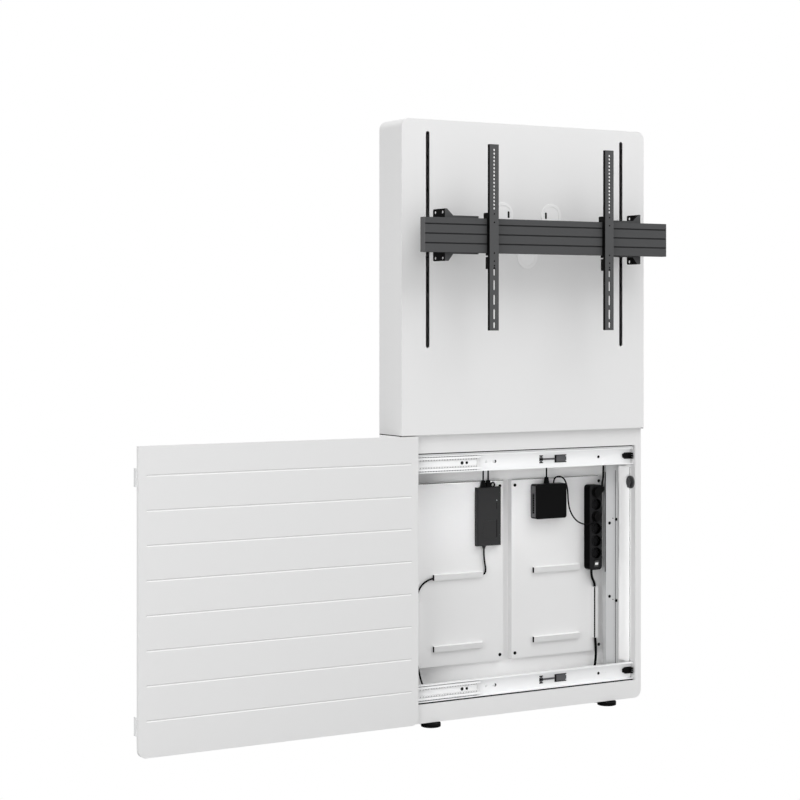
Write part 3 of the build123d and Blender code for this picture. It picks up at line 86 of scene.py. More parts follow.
# Camera, solved from the housing's corners, slots and door in the photograph
camera_data = bpy.data.cameras.new("photo_camera")
camera_data.sensor_width = 36.0
camera_data.lens = 86.79
camera_data.shift_y = -0.1012
camera_data.clip_end = 60.0
camera = bpy.data.objects.new("photo_camera", camera_data)
camera.location = (-3.1504, -4.7694, 1.1660)
camera.rotation_euler = (math.radians(90.0), 0.0, math.radians(-30.03))
bpy.context.scene.collection.objects.link(camera)
bpy.context.scene.camera = camera
bpy.context.scene.view_settings.view_transform = "Standard"


# Shader tools
class Graph:
    """A node tree with short calls to add and join nodes."""

    def __init__(self, tree):
        self.tree = tree

    def node(self, kind, **values):
        made = self.tree.nodes.new(kind)
        for key, value in values.items():
            if key in made.inputs:
                made.inputs[key].default_value = value
            else:
                setattr(made, key, value)
        return made

    def join(self, output, target):
        self.tree.links.new(output, target)


def new_group(name, inputs, outputs):
    """A shader node group with its sockets, and its input and output nodes."""
    tree = bpy.data.node_groups.new(name, "ShaderNodeTree")
    for label, kind, value in inputs:
        socket = tree.interface.new_socket(label, in_out="INPUT", socket_type=kind)
        socket.default_value = value
    for label, kind in outputs:
        tree.interface.new_socket(label, in_out="OUTPUT", socket_type=kind)
    graph = Graph(tree)
    return tree, graph, graph.node("NodeGroupInput"), graph.node("NodeGroupOutput")


def make_relief_group():
    """Softened edges with a fine stretched grain on top, as a normal and a grain mask."""
    tree, graph, source, result = new_group(
        "Relief",
        [("Edge Radius", "NodeSocketFloat", 0.0006), ("Stretch", "NodeSocketVector", (1.0, 1.0, 1.0)),
         ("Scale", "NodeSocketFloat", 900.0), ("Depth", "NodeSocketFloat", 0.00002),
         ("Detail", "NodeSocketFloat", 2.0)],
        [("Normal", "NodeSocketVector"), ("Grain", "NodeSocketFloat")])
    place = graph.node("ShaderNodeTexCoord")
    stretch = graph.node("ShaderNodeVectorMath", operation="MULTIPLY")
    noise = graph.node("ShaderNodeTexNoise")
    edge = graph.node("ShaderNodeBevel", samples=4)
    bump = graph.node("ShaderNodeBump", Strength=1.0)
    graph.join(place.outputs["Object"], stretch.inputs[0])
    graph.join(source.outputs["Stretch"], stretch.inputs[1])
    graph.join(stretch.outputs[0], noise.inputs["Vector"])
    graph.join(source.outputs["Scale"], noise.inputs["Scale"])
    graph.join(source.outputs["Detail"], noise.inputs["Detail"])
    graph.join(source.outputs["Edge Radius"], edge.inputs["Radius"])
    graph.join(source.outputs["Depth"], bump.inputs["Distance"])
    graph.join(noise.outputs[0], bump.inputs["Height"])
    graph.join(edge.outputs[0], bump.inputs["Normal"])
    graph.join(bump.outputs[0], result.inputs["Normal"])
    graph.join(noise.outputs[0], result.inputs["Grain"])
    return tree


def make_tone_group():
    """A colour that drifts a little over the piece, with painted light and shade laid on it. Along its
    edges it takes the edge shading colour, a painted highlight or painted shade as each material sets it.
    Faces that turn up take the upward light, a painted light, and faces that turn down the downward shade,
    a painted shade. Faces that turn away from front and back take the side shade colour, a painted shade,
    as far as its share says."""
    tree, graph, source, result = new_group(
        "Tone",
        [("Color", "NodeSocketColor", (0.5, 0.5, 0.5, 1.0)), ("Drift", "NodeSocketFloat", 0.03),
         ("Drift Scale", "NodeSocketFloat", 3.0), ("Edge Shading Color", "NodeSocketColor", (0.5, 0.5, 0.5, 1.0)),
         ("Edge Shading Share", "NodeSocketFloat", 0.0), ("Edge Width", "NodeSocketFloat", 0.0012),
         ("Downward Shade", "NodeSocketFloat", 1.0), ("Upward Light", "NodeSocketFloat", 1.0),
         ("Side Shade Color", "NodeSocketColor", (0.5, 0.5, 0.5, 1.0)), ("Side Shade Share", "NodeSocketFloat", 0.0)],
        [("Color", "NodeSocketColor")])
    place = graph.node("ShaderNodeTexCoord")
    noise = graph.node("ShaderNodeTexNoise", Detail=4.0, Roughness=0.6)
    centred = graph.node("ShaderNodeMath", operation="SUBTRACT")
    centred.inputs[1].default_value = 0.5
    scaled = graph.node("ShaderNodeMath", operation="MULTIPLY_ADD")
    scaled.inputs[2].default_value = 1.0
    drifted = graph.node("ShaderNodeVectorMath", operation="SCALE")
    # Where the bevel's normal parts from the true normal, at edges, the edge colour is mixed in: painted
    # highlight or painted shade
    edge = graph.node("ShaderNodeBevel", samples=4)
    shape = graph.node("ShaderNodeNewGeometry")
    facing = graph.node("ShaderNodeVectorMath", operation="DOT_PRODUCT")
    turned_away = graph.node("ShaderNodeMapRange")
    turned_away.inputs["From Min"].default_value = 1.0
    turned_away.inputs["From Max"].default_value = 0.86
    share = graph.node("ShaderNodeMath", operation="MULTIPLY", use_clamp=True)
    mix = graph.node("ShaderNodeMix", data_type="RGBA")
    # Faces that turn up are lightened and faces that turn down darkened: painted light and painted shade
    normal = graph.node("ShaderNodeSeparateXYZ")
    lift = graph.node("ShaderNodeMapRange")
    lift.inputs["From Min"].default_value = -0.5
    lift.inputs["From Max"].default_value = 0.5
    tilt_shaded = graph.node("ShaderNodeVectorMath", operation="SCALE")
    # Faces that turn sideways take the side colour: painted shade
    frontal = graph.node("ShaderNodeMath", operation="ABSOLUTE")
    side_shade_mask = graph.node("ShaderNodeMapRange")
    side_shade_mask.inputs["From Min"].default_value = 0.75
    side_shade_mask.inputs["From Max"].default_value = 0.35
    side_shade_amount = graph.node("ShaderNodeMath", operation="MULTIPLY", use_clamp=True)
    side_shade_mix = graph.node("ShaderNodeMix", data_type="RGBA")
    graph.join(shape.outputs["True Normal"], normal.inputs[0])
    graph.join(normal.outputs["Z"], lift.inputs["Value"])
    graph.join(source.outputs["Downward Shade"], lift.inputs["To Min"])
    graph.join(source.outputs["Upward Light"], lift.inputs["To Max"])
    graph.join(lift.outputs[0], tilt_shaded.inputs["Scale"])
    graph.join(normal.outputs["Y"], frontal.inputs[0])
    graph.join(frontal.outputs[0], side_shade_mask.inputs["Value"])
    graph.join(side_shade_mask.outputs[0], side_shade_amount.inputs[0])
    graph.join(source.outputs["Side Shade Share"], side_shade_amount.inputs[1])
    graph.join(side_shade_amount.outputs[0], side_shade_mix.inputs["Factor"])
    graph.join(place.outputs["Object"], noise.inputs["Vector"])
    graph.join(source.outputs["Drift Scale"], noise.inputs["Scale"])
    graph.join(noise.outputs[0], centred.inputs[0])
    graph.join(centred.outputs[0], scaled.inputs[0])
    graph.join(source.outputs["Drift"], scaled.inputs[1])
    graph.join(source.outputs["Color"], drifted.inputs[0])
    graph.join(scaled.outputs[0], drifted.inputs["Scale"])
    graph.join(source.outputs["Edge Width"], edge.inputs["Radius"])
    graph.join(edge.outputs[0], facing.inputs[0])
    graph.join(shape.outputs["True Normal"], facing.inputs[1])
    graph.join(facing.outputs["Value"], turned_away.inputs["Value"])
    graph.join(turned_away.outputs[0], share.inputs[0])
    graph.join(source.outputs["Edge Shading Share"], share.inputs[1])
    graph.join(share.outputs[0], mix.inputs["Factor"])
    graph.join(drifted.outputs[0], tilt_shaded.inputs[0])
    graph.join(tilt_shaded.outputs[0], mix.inputs["A"])
    graph.join(source.outputs["Edge Shading Color"], mix.inputs["B"])
    graph.join(mix.outputs["Result"], side_shade_mix.inputs["A"])
    graph.join(source.outputs["Side Shade Color"], side_shade_mix.inputs["B"])
    graph.join(side_shade_mix.outputs["Result"], result.inputs["Color"])
    return tree


RELIEF = make_relief_group()
TONE = make_tone_group()

# The grain takes the roughness this far to either side, and never below the smoothest
ROUGH_SPREAD = 0.06
SMOOTHEST = 0.02
COAT_ROUGH = 0.25
MATERIALS = {}


def surface(name, color, rough, metal=0.0, scale=900.0, depth=0.00002, detail=2.0, stretch=(1.0, 1.0, 1.0),
            edge=0.0006, edge_shading_color=None, edge_shading_share=0.0, drift=0.03, drift_scale=3.0, coat=0.0,
            specular=0.5, glow=0.0, lift=(1.0, 1.0), side=None):
    """Adds a Principled material whose colour, roughness and normal come from the shared groups."""
    material = bpy.data.materials.new(name)
    material.use_nodes = True
    graph = Graph(material.node_tree)
    shader = material.node_tree.nodes["Principled BSDF"]
    relief = graph.node("ShaderNodeGroup", node_tree=RELIEF)
    relief.inputs["Edge Radius"].default_value = edge
    relief.inputs["Stretch"].default_value = stretch
    relief.inputs["Scale"].default_value = scale
    relief.inputs["Depth"].default_value = depth
    relief.inputs["Detail"].default_value = detail
    tone = graph.node("ShaderNodeGroup", node_tree=TONE)
    tone.inputs["Color"].default_value = (*color, 1.0)
    tone.inputs["Drift"].default_value = drift
    tone.inputs["Drift Scale"].default_value = drift_scale
    # Edge colour and share: a painted highlight or painted shade along the edges
    tone.inputs["Edge Shading Color"].default_value = (*(edge_shading_color or color), 1.0)
    tone.inputs["Edge Shading Share"].default_value = edge_shading_share
    # Upward and downward faces: painted light and painted shade
    tone.inputs["Downward Shade"].default_value, tone.inputs["Upward Light"].default_value = lift
    # A side value paints shade on the faces that turn away from front and back
    if side is not None:
        tone.inputs["Side Shade Color"].default_value = (side, side, side, 1.0)
        tone.inputs["Side Shade Share"].default_value = 1.0
    rough_range = graph.node("ShaderNodeMapRange")
    rough_range.inputs["To Min"].default_value = max(rough - ROUGH_SPREAD, SMOOTHEST)
    rough_range.inputs["To Max"].default_value = min(rough + ROUGH_SPREAD, 1.0)
    graph.join(relief.outputs["Grain"], rough_range.inputs["Value"])
    graph.join(rough_range.outputs[0], shader.inputs["Roughness"])
    graph.join(tone.outputs["Color"], shader.inputs["Base Color"])
    graph.join(relief.outputs["Normal"], shader.inputs["Normal"])
    shader.inputs["Metallic"].default_value = metal
    shader.inputs["Coat Weight"].default_value = coat
    shader.inputs["Coat Roughness"].default_value = COAT_ROUGH
    shader.inputs["Specular IOR Level"].default_value = specular
    if glow:
        shader.inputs["Emission Color"].default_value = (*color, 1.0)
        shader.inputs["Emission Strength"].default_value = glow
    MATERIALS[name] = material


def white_powder_coat(name, shade):
    """White powder coat on sheet steel, with painted shade and light: faces that turn down are greyer and
    faces that turn up a touch lighter, and the edges take a 0.93 grey, a painted shade on the white coat
    and a painted highlight on the darker door coat.
    """
    surface(name, (shade, shade, shade), 0.46, scale=1400.0, depth=0.000012, edge=0.0005,
            edge_shading_color=(0.93, 0.93, 0.93), edge_shading_share=0.35, drift=0.012, lift=(0.77, 1.015))


# Powder coats and plastics. Their edge colours paint highlights along the dark plastics' edges and shade
# along the white coat's, and their side values paint shade on faces that turn sideways
white_powder_coat("white_coat", 0.96)
# The door's coat is the same white paint made darker: painted shade for the door
white_powder_coat("shaded_door_coat", 0.908)
surface("white_plastic", (0.95, 0.95, 0.95), 0.38, scale=2400.0, depth=0.000006, edge=0.0005, drift=0.01)
surface("black_plastic", (0.018, 0.018, 0.019), 0.52, scale=2600.0, depth=0.00003, edge=0.0007,
        edge_shading_color=(0.05, 0.05, 0.05), edge_shading_share=0.5, drift=0.1, specular=0.4)
surface("player_black", (0.003, 0.003, 0.0033), 0.34, specular=0.07, scale=3200.0, depth=0.00001,
        edge=0.0007, edge_shading_color=(0.05, 0.05, 0.05), edge_shading_share=0.5, drift=0.1)
surface("strip_black", (0.020, 0.020, 0.021), 0.42, specular=0.02, scale=2600.0, depth=0.000016,
        edge=0.0009, edge_shading_color=(0.03, 0.03, 0.03), edge_shading_share=0.4, drift=0.1, side=0.0015)
surface("plug_black", (0.006, 0.006, 0.006), 0.42, specular=0.03, scale=2600.0, depth=0.00001,
        edge=0.0009, edge_shading_color=(0.03, 0.03, 0.03), edge_shading_share=0.6, side=0.0015)
surface("rocker_black", (0.03, 0.03, 0.03), 0.16, scale=900.0, depth=0.000003, edge=0.0008, coat=0.6)
surface("grey_plastic", (0.125, 0.125, 0.13), 0.50, specular=0.1, scale=2400.0, depth=0.00002,
        edge=0.0004, side=0.008)
surface("cap_grey", (0.13, 0.13, 0.132), 0.46, specular=0.1, scale=2200.0, depth=0.00003)

# Rubber and leads
surface("black_rubber", (0.0035, 0.0035, 0.0035), 0.55, specular=0.08, scale=1800.0, depth=0.00004,
        edge=0.0006)
surface("lead_black", (0.004, 0.004, 0.0045), 0.42, specular=0.03, scale=2600.0, depth=0.00002,
        edge=0.0001, drift=0.12, drift_scale=30.0)

# Metals and dark coats on metal. Their edge colours paint highlights along the edges, and their side values
# paint shade on faces that turn sideways
surface("zinc_steel", (0.91, 0.915, 0.92), 0.36, metal=0.25, stretch=(0.02, 1.0, 1.0), scale=1800.0,
        depth=0.000010, edge=0.0004, drift=0.05, drift_scale=9.0, detail=4.0,
        edge_shading_color=(0.95, 0.95, 0.96), edge_shading_share=0.4)
surface("steel_balls", (0.95, 0.95, 0.95), 0.30, metal=0.2, scale=600.0, depth=0.000004, edge=0.0002,
        side=0.16)
surface("rail_aluminium", (0.66, 0.665, 0.67), 0.38, metal=0.3, stretch=(1.0, 1.0, 0.01), scale=1500.0,
        depth=0.000014, edge=0.0004, drift=0.04, detail=4.0)
surface("carriage_aluminium", (0.45, 0.46, 0.47), 0.42, metal=0.9, stretch=(1.0, 1.0, 0.04), scale=1200.0,
        depth=0.00002, edge=0.0007, detail=4.0)
surface("dark_anodised", (0.088, 0.089, 0.091), 0.46, specular=0.04, stretch=(0.01, 1.0, 1.0),
        scale=1500.0, depth=0.000014, edge=0.0005, drift=0.08, detail=4.0, edge_shading_color=(0.13, 0.13, 0.135),
        edge_shading_share=0.5, side=0.004)
surface("dark_coat", (0.100, 0.101, 0.103), 0.50, specular=0.03, scale=2200.0, depth=0.00004, edge=0.0006,
        drift=0.08, edge_shading_color=(0.14, 0.14, 0.145), edge_shading_share=0.5, side=0.004)
surface("black_coat", (0.006, 0.006, 0.006), 0.46, specular=0.05, scale=2200.0, depth=0.00003,
        edge=0.0006, edge_shading_color=(0.03, 0.03, 0.03), edge_shading_share=0.5)
surface("black_steel", (0.002, 0.002, 0.002), 0.34, specular=0.08, scale=1600.0, depth=0.00001,
        edge=0.0003, edge_shading_color=(0.008, 0.008, 0.008), edge_shading_share=0.5)
surface("lock_metal", (0.12, 0.122, 0.125), 0.38, metal=0.7, scale=1200.0, depth=0.00001, edge=0.0005,
        edge_shading_color=(0.4, 0.4, 0.4), edge_shading_share=0.5)
surface("spindle_steel", (0.50, 0.51, 0.52), 0.28, metal=1.0, scale=900.0, depth=0.00001, edge=0.0003)
surface("motor_steel", (0.05, 0.05, 0.052), 0.38, metal=0.2, scale=1600.0, depth=0.00002, edge=0.0007)

# Small trim
surface("port_grey", (0.10, 0.10, 0.105), 0.42, scale=2600.0, depth=0.00001, edge=0.0003)
surface("contact_brass", (0.06, 0.06, 0.06), 0.35, metal=1.0, scale=1800.0, depth=0.00001, edge=0.0003)
surface("lamp_lens", (0.30, 0.33, 0.32), 0.30, scale=900.0, depth=0.000003, edge=0.0002, coat=0.3,
        glow=0.04)

# Each node takes the material of its slot, apart from these
OWN_MATERIAL = {"door_panel": "shaded_door_coat", "player_plug": "plug_black", "control_plugs": "plug_black",
                "display_lead": "plug_black", "rail_end_caps": "cap_grey"}
for name, obj in nodes.items():
    obj.data.materials.clear()
    obj.data.materials.append(MATERIALS[OWN_MATERIAL.get(name, slot_of[name])])


# Mesh tools. A shell is an array of vertices in metres and a list of faces.
def mesh_piece(name, shells, body, slot, smooth=True, material=None):
    """A mesh object of one or more shells, riding on a body. Its material is the one named, or where none
    is named the one that the slot names."""
    vertices, faces = join_shells(shells)
    mesh = bpy.data.meshes.new(name)
    mesh.from_pydata(vertices.tolist(), [], faces)
    mesh.update()
    mesh.polygons.foreach_set("use_smooth", [smooth] * len(mesh.polygons))
    mesh.materials.append(MATERIALS[material or slot])
    obj = bpy.data.objects.new(name, mesh)
    bpy.context.scene.collection.objects.link(obj)
    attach(obj, body)
    return obj


def join_shells(shells):
    """Several shells as one: each shell's faces count on from the vertices before it."""
    faces, start = [], 0
    for vertices, shell_faces in shells:
        faces += [[start + index for index in face] for face in shell_faces]
        start += len(vertices)
    return np.concatenate([vertices for vertices, _ in shells]), faces


def ring_faces(rows, count, capped=True):
    """Quads between rows of points that each go once round, with a cap on the first and the last row."""
    row, step = np.meshgrid(np.arange(rows - 1), np.arange(count), indexing="ij")
    start, after = row * count, (step + 1) % count
    quads = np.stack((start + step, start + after, start + count + after, start + count + step), axis=-1)
    caps = [list(range(count))[::-1], list(range((rows - 1) * count, rows * count))]
    return quads.reshape(-1, 4).tolist() + (caps if capped else [])


def square_to(axis):
    """Two unit vectors square to an axis and to each other."""
    helper = np.array(RIGHT if abs(axis[2]) > 0.9 else UP)
    first = np.cross(helper, axis)
    first /= np.linalg.norm(first)
    return first, np.cross(axis, first)


def lathe(profile, place, axis, count=32, lobes=0, lobe_share=0.0, capped=True):
    """A surface of revolution: each profile point (radius, height) goes round the axis at its height.
    With lobes, the radius swells and shrinks as the cosine of that many times the angle."""
    axis = np.asarray(axis)
    first, second = square_to(axis)
    radii, heights = np.asarray(profile).T[:, :, None, None] * MM
    angles = np.linspace(0.0, 2.0 * math.pi, count, endpoint=False)[:, None]
    ring = (np.cos(angles) * first + np.sin(angles) * second) * (1.0 + lobe_share * np.cos(lobes * angles))
    vertices = radii * ring + heights * axis + np.asarray(place)
    return vertices.reshape(-1, 3), ring_faces(len(profile), count, capped)


def rectangle(across, up):
    """The four corners of a rectangle from its two spans, anticlockwise from the low one."""
    (low_a, high_a), (low_u, high_u) = across, up
    return np.array([(low_a, low_u), (high_a, low_u), (high_a, high_u), (low_a, high_u)])


def about(middle, half):
    """The span that reaches a half width to either side of a middle."""
    return middle - half, middle + half


def prism(outline, place, along, up, normal, low, high):
    """A flat outline of (along, up) points, pushed from the low to the high distance along the normal."""
    flat = outline @ np.stack((along, up)) * MM + np.asarray(place)
    normal = np.asarray(normal) * MM
    return np.concatenate((flat + normal * low, flat + normal * high)), ring_faces(2, len(outline))


def plate(x_span, z_span, depth, proud, inset=0.0):
    """A rectangle on a face turned to the front, upright for six tenths of its thickness and then drawn
    in by the inset to its front."""
    insets = np.array((0.0, 0.0, inset))[:, None, None]
    corners = rectangle(x_span, z_span) + insets * rectangle((1.0, -1.0), (1.0, -1.0))
    depths = depth - proud * np.array((0.0, 0.6, 1.0))[:, None]
    return places(corners[..., 0], depths, corners[..., 1]), ring_faces(3, 4)


def side_frame(x, depths, heights, hole_depths, hole_heights, proud):
    """A thin frame on a face turned to the left: the outer and the inner rectangle, each at the face and
    proud of it, in the order outer, outer, inner, inner and back to the first."""
    outer, hole = rectangle(depths, heights), rectangle(hole_depths, hole_heights)
    loops = np.stack((outer, outer, hole, hole))
    levels = np.array((0.0, proud, proud, 0.0))[:, None]
    faces = np.array(ring_faces(5, 4, capped=False)) % (4 * len(loops))
    return places(x - levels, loops[..., 0], loops[..., 1]), faces[:, ::-1].tolist()


def thread(x, depth, low, high, core, crest, pitch, count=20, rows_per_turn=4):
    """A screw thread: the radius swells from the core to the crest as a cosine, once each pitch along the
    axis, and the cosine's phase is the angle, so that the ridge climbs one pitch in each turn. Over the
    last pitch at each end the swell fades to nothing."""
    rows = int((high - low) / pitch * rows_per_turn) + 1
    angles = np.linspace(0.0, 2.0 * math.pi, count, endpoint=False)
    height, angle = np.meshgrid(np.linspace(low, high, rows), angles, indexing="ij")
    wave = 0.5 + 0.5 * np.cos(2.0 * math.pi * height / pitch - angle)
    fade = np.minimum(1.0, np.minimum(height - low, high - height) / pitch)
    radius = core + (crest - core) * wave * fade
    vertices = places(x + radius * np.cos(angle), depth + radius * np.sin(angle), height)
    return vertices, ring_faces(rows, count)


# The media player's power lead hangs free from the player's top to its plug in the third socket. Each
# point is X, depth and Z.
power_points = [(156.0, 90.0, 671.5), (156.0, 90.0, 681.0), (162.0, 89.0, 690.0), (176.0, 88.0, 692.5),
                (190.0, 86.0, 686.5), (199.0, 84.0, 669.0), (201.5, 81.0, 644.0), (201.0, 79.0, 619.0),
                (203.5, 77.0, 596.0), (212.0, 74.0, 574.0), (226.0, 71.0, 557.0), (243.0, 69.0, 547.5),
                (262.0, 68.0, 543.8), (277.0, 68.0, 544.3), (288.0, 68.0, 547.3), (297.5, 68.0, 551.5)]


def lead_curve(name, points, diameter, node, slot):
    """A round lead along a smooth NURBS spline through a node's route, in place of that node."""
    curve = bpy.data.curves.new(name, "CURVE")
    curve.dimensions = "3D"
    spline = curve.splines.new("NURBS")
    spline.points.add(len(points) - 1)
    for control, point in zip(spline.points, points):
        control.co = (*at(*point), 1.0)
    spline.order_u = 3
    spline.use_endpoint_u = True
    spline.resolution_u = 8
    curve.bevel_depth = diameter * MM / 2.0
    curve.bevel_resolution = 5
    curve.use_fill_caps = True
    curve.materials.append(MATERIALS[slot])
    obj = bpy.data.objects.new(name, curve)
    bpy.context.scene.collection.objects.link(obj)
    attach(obj, "housing")
    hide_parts(node)
    return obj


player_cord = lead_curve("player_cord", power_points, 4.5, "player_power_lead", "lead_black")

# Places that several pieces share, from the frame's boxes where these give them
strip_low, strip_high = box_mm("power_strip")
socket_x = (strip_low[0] + strip_high[0]) / 2.0
strip_front = front_depth("power_strip")
socket_top_z = 639.6
socket_pitch = 37.0
tray_low, tray_high = box_mm("right_tray")
tray_front = 106.0
tray_ridge_front = front_depth("right_tray")
slide_sheet = 1.5
outer_web_front = back_depth("outer_slide_lower") - slide_sheet
middle_web_front = back_depth("middle_slide_lower") - slide_sheet
slide_z = {level: sum(corner[2] for corner in box_mm(f"outer_slide_{level}")) / 2.0
           for level in ("lower", "upper")}
slide_right_x = box_mm("outer_slide_upper")[1][0]
slide_left_x = -401.0
post_x = 355.0
post_front = front_depth("guide_rails")
outlet_x = 84.6
outlet_upper_z = 1470.0
outlet_lower_z = 1349.0


def socket_screw(x, depth, z, radius, height):
    """A domed screw head with a socket sunk in its middle."""
    profile = [(radius, 0.0), (radius, height * 0.45), (radius * 0.86, height * 0.8),
               (radius * 0.62, height), (radius * 0.42, height), (radius * 0.38, height * 0.35)]
    return lathe(profile, at(x, depth, z), FRONT, count=24)


def make_screws():
    """Socket screws of the trays, guide posts and slides, in place of the plain heads."""
    inset, drop, web_screw_x = 12.0, 16.6, 281.0
    groove_plane = post_front + 2.0
    # Offset from the post's middle, depth and Z
    post_screws = [(-9.5, post_front, 544.1), (-9.5, post_front, 320.6), (17.0, groove_plane, 553.9),
                   (17.0, groove_plane, 305.6)]
    heads = [socket_screw(side * x, tray_front, z, 5.0, 1.8) for side in SIDES
             for x in (tray_low[0] + inset, tray_high[0] - inset)
             for z in (tray_low[2] + drop, tray_high[2] - drop)]
    heads += [socket_screw(side * (post_x + offset), depth, z, 4.7, 1.5) for side in SIDES
              for offset, depth, z in post_screws]
    heads += [socket_screw(web_screw_x, outer_web_front, z, 4.3, 1.0) for z in slide_z.values()]
    screws = mesh_piece("socket_screws", heads, "housing", "black_steel")
    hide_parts("black_screws")


def make_feet():
    """Rubber feet with a ribbed rim and a waist, in place of the plain discs."""
    foot_x, foot_y = 310.0, 32.0
    radius, height, stem_radius = 28.5, 12.0, 8.0
    profile = [(radius - 2.0, 0.0), (radius - 0.5, 0.6), (radius, 1.6), (radius, 3.4), (radius - 0.9, 3.8),
               (radius - 0.9, 4.6), (radius, 5.0), (radius, 9.6), (radius - 0.5, 11.2),
               (radius - 1.9, height), (stem_radius + 4.0, height), (stem_radius + 0.4, height + 0.6),
               (stem_radius, height + 3.0)]
    discs = [lathe(profile, (x * MM, y * MM, 0.0), UP, count=64, lobes=32, lobe_share=0.004)
             for x in (-foot_x, foot_x) for y in (-foot_y, foot_y)]
    feet = mesh_piece("ribbed_feet", discs, "housing", "black_plastic", material="black_rubber")
    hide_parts("feet")


def make_socket_contacts():
    """Earth clips, and rims round the pin holes, in the sockets that stay free."""
    clip_x, clip_depth, pin_z, pin_depth = 14.6, 88.4, 9.5, 88.5
    clip = rectangle((-1.0, 1.0), (-2.2, 2.2))
    pin_rim = [(2.9, 0.0), (2.9, 0.25), (2.5, 0.3), (2.42, 0.0)]
    shells = []
    for socket in (1, 3, 4, 5):
        z = socket_top_z - socket_pitch * socket
        for side in SIDES:
            clip_place = at(socket_x + side * clip_x, clip_depth, z)
            shells.append(prism(clip, clip_place, RIGHT, UP, FRONT, 0.0, 6.0))
            shells.append(lathe(pin_rim, at(socket_x, pin_depth, z + side * pin_z), FRONT, count=20))
    mesh_piece("socket_contacts", shells, "housing", "strip_black", smooth=False, material="contact_brass")


def make_lamp_lens():
    """The domed lens of the control box's lamp."""
    lamp_x, lamp_z = -47.9, 630.2
    dome = [(1.9, 0.0), (1.8, 0.35), (1.3, 0.75), (0.6, 0.92), (0.1, 0.95)]
    lens = lathe(dome, at(lamp_x, front_depth("control_box"), lamp_z), FRONT, count=24)
    mesh_piece("lamp_lens", [lens], "housing", "black_plastic", material="lamp_lens")


def make_socket_rims():
    """A raised rim round each of the six sockets. Its profile closes on itself, so it has no caps."""
    rim = [(16.9, -0.2), (18.1, -0.2), (18.0, 0.35), (17.6, 0.6), (17.1, 0.5), (16.9, -0.2)]
    rims = [lathe(rim, at(socket_x, strip_front, socket_top_z - socket_pitch * step), FRONT, count=48,
                  capped=False)
            for step in range(6)]
    mesh_piece("socket_rims", rims, "housing", "strip_black")


def make_outlet_foam():
    """A dark foam collar behind each outlet cap."""
    collar_depth = 9.0
    collar = [(2.0, 0.0), (25.5, 0.0), (26.4, 0.8), (26.4, 3.2), (25.5, 4.0), (2.0, 4.0)]
    outlets = ((-outlet_x, outlet_upper_z), (outlet_x, outlet_upper_z), (0.0, outlet_lower_z))
    collars = [lathe(collar, at(x, collar_depth, z), FRONT, count=40) for x, z in outlets]
    mesh_piece("outlet_foam", collars, "housing", "black_rubber")


def make_control_details():
    """The control box's raised cover, and dark slots beside the cover and under the lamp."""
    face = front_depth("control_box")
    cover = plate((-96.0, -49.4), (516.0, 571.5), face, 0.7, 0.8)
    cover_slot = plate((-49.0, -46.6), (521.5, 573.0), face, 0.25, 0.2)
    lamp_slot = plate((-48.6, -47.0), (604.5, 623.0), face, 0.2, 0.2)
    mesh_piece("control_cover", [cover], "housing", "black_plastic", smooth=False)
    mesh_piece("control_slots", [cover_slot, lamp_slot], "housing", "black_rubber", smooth=False)


def make_slide_details(level):
    """Black domed discs in the middle member's two holes and a black disc in the outer member's web hole,
    painted shade for the holes' dark inside; bosses on the outer member's web; and the dark outlines of the
    soft closer's jaw and catch."""
    z, hole_x, half_height = slide_z[level], -89.6, 11.4
    # Black discs in the middle member's holes: painted shade for the holes' dark inside
    hole_shades = [lathe([(radius, 0.0), (radius, 0.25), (radius * 0.6, 0.5), (0.2, 0.55)],
                    at(x, middle_web_front, z), FRONT, count=20)
              for x, radius in ((-206.0, 5.0), (-190.0, 4.3))]
    mesh_piece(f"slide_hole_shades_{level}", hole_shades, f"middle_{level}", "zinc_steel", material="black_steel")
    bosses = [lathe([(radius, 0.0), (radius, height), (0.2, height)], at(x, outer_web_front, z), FRONT,
                    count=20)
              for x, radius, height in ((-94.2, 4.4, 0.3), (-121.0, 3.6, 0.5))]
    mesh_piece(f"web_bosses_{level}", bosses, "housing", "zinc_steel")
    # A black disc in the web's hole: painted shade for its dark inside
    hole = lathe([(4.4, 0.0), (4.4, 0.25), (0.2, 0.25)], at(hole_x, outer_web_front, z), FRONT, count=20)
    mesh_piece(f"web_hole_{level}", [hole], "housing", "zinc_steel", material="black_steel")
    closer_left_x, closer_right_x = (corner[0] for corner in box_mm("soft_closers"))
    jaw = (closer_left_x, closer_left_x + 12.0)
    catch = (closer_right_x - 41.0, closer_right_x - 36.0)
    buffer = (catch[1], closer_right_x)
    marks = [(jaw, (-half_height, -8.6)), (jaw, (8.6, half_height)), (jaw, (-2.4, 2.4)),
             (catch, (-half_height, half_height)), (buffer, (-half_height, -9.8)),
             (buffer, (10.2, half_height))]
    shells = [plate(x_span, (z + low, z + high), front_depth("soft_closers"), 0.3)
              for x_span, (low, high) in marks]
    mesh_piece(f"closer_marks_{level}", shells, "housing", "grey_plastic", smooth=False,
               material="black_rubber")


def make_slide_flange():
    """A flange over the upper slide, and dark strips in the gaps above it and below the lower slide:
    painted shade for the shadow in these gaps.
    """
    slide_x = (slide_left_x, slide_right_x)
    flange_z, upper_gap_z, lower_gap_z = (775.1, 779.6), (779.7, 782.9), (68.1, 72.3)
    flange = plate(slide_x, flange_z, 24.0, 1.6, 0.2)
    mesh_piece("upper_slide_flange", [flange], "housing", "zinc_steel", smooth=False)
    # Dark strips in the gaps over the upper slide and under the lower slide: painted shade
    gap_shades = [plate(slide_x, upper_gap_z, 25.0, 0.6), plate(slide_x, lower_gap_z, 22.0, 0.6)]
    mesh_piece("slide_gap_shade", gap_shades, "housing", "black_rubber", smooth=False)


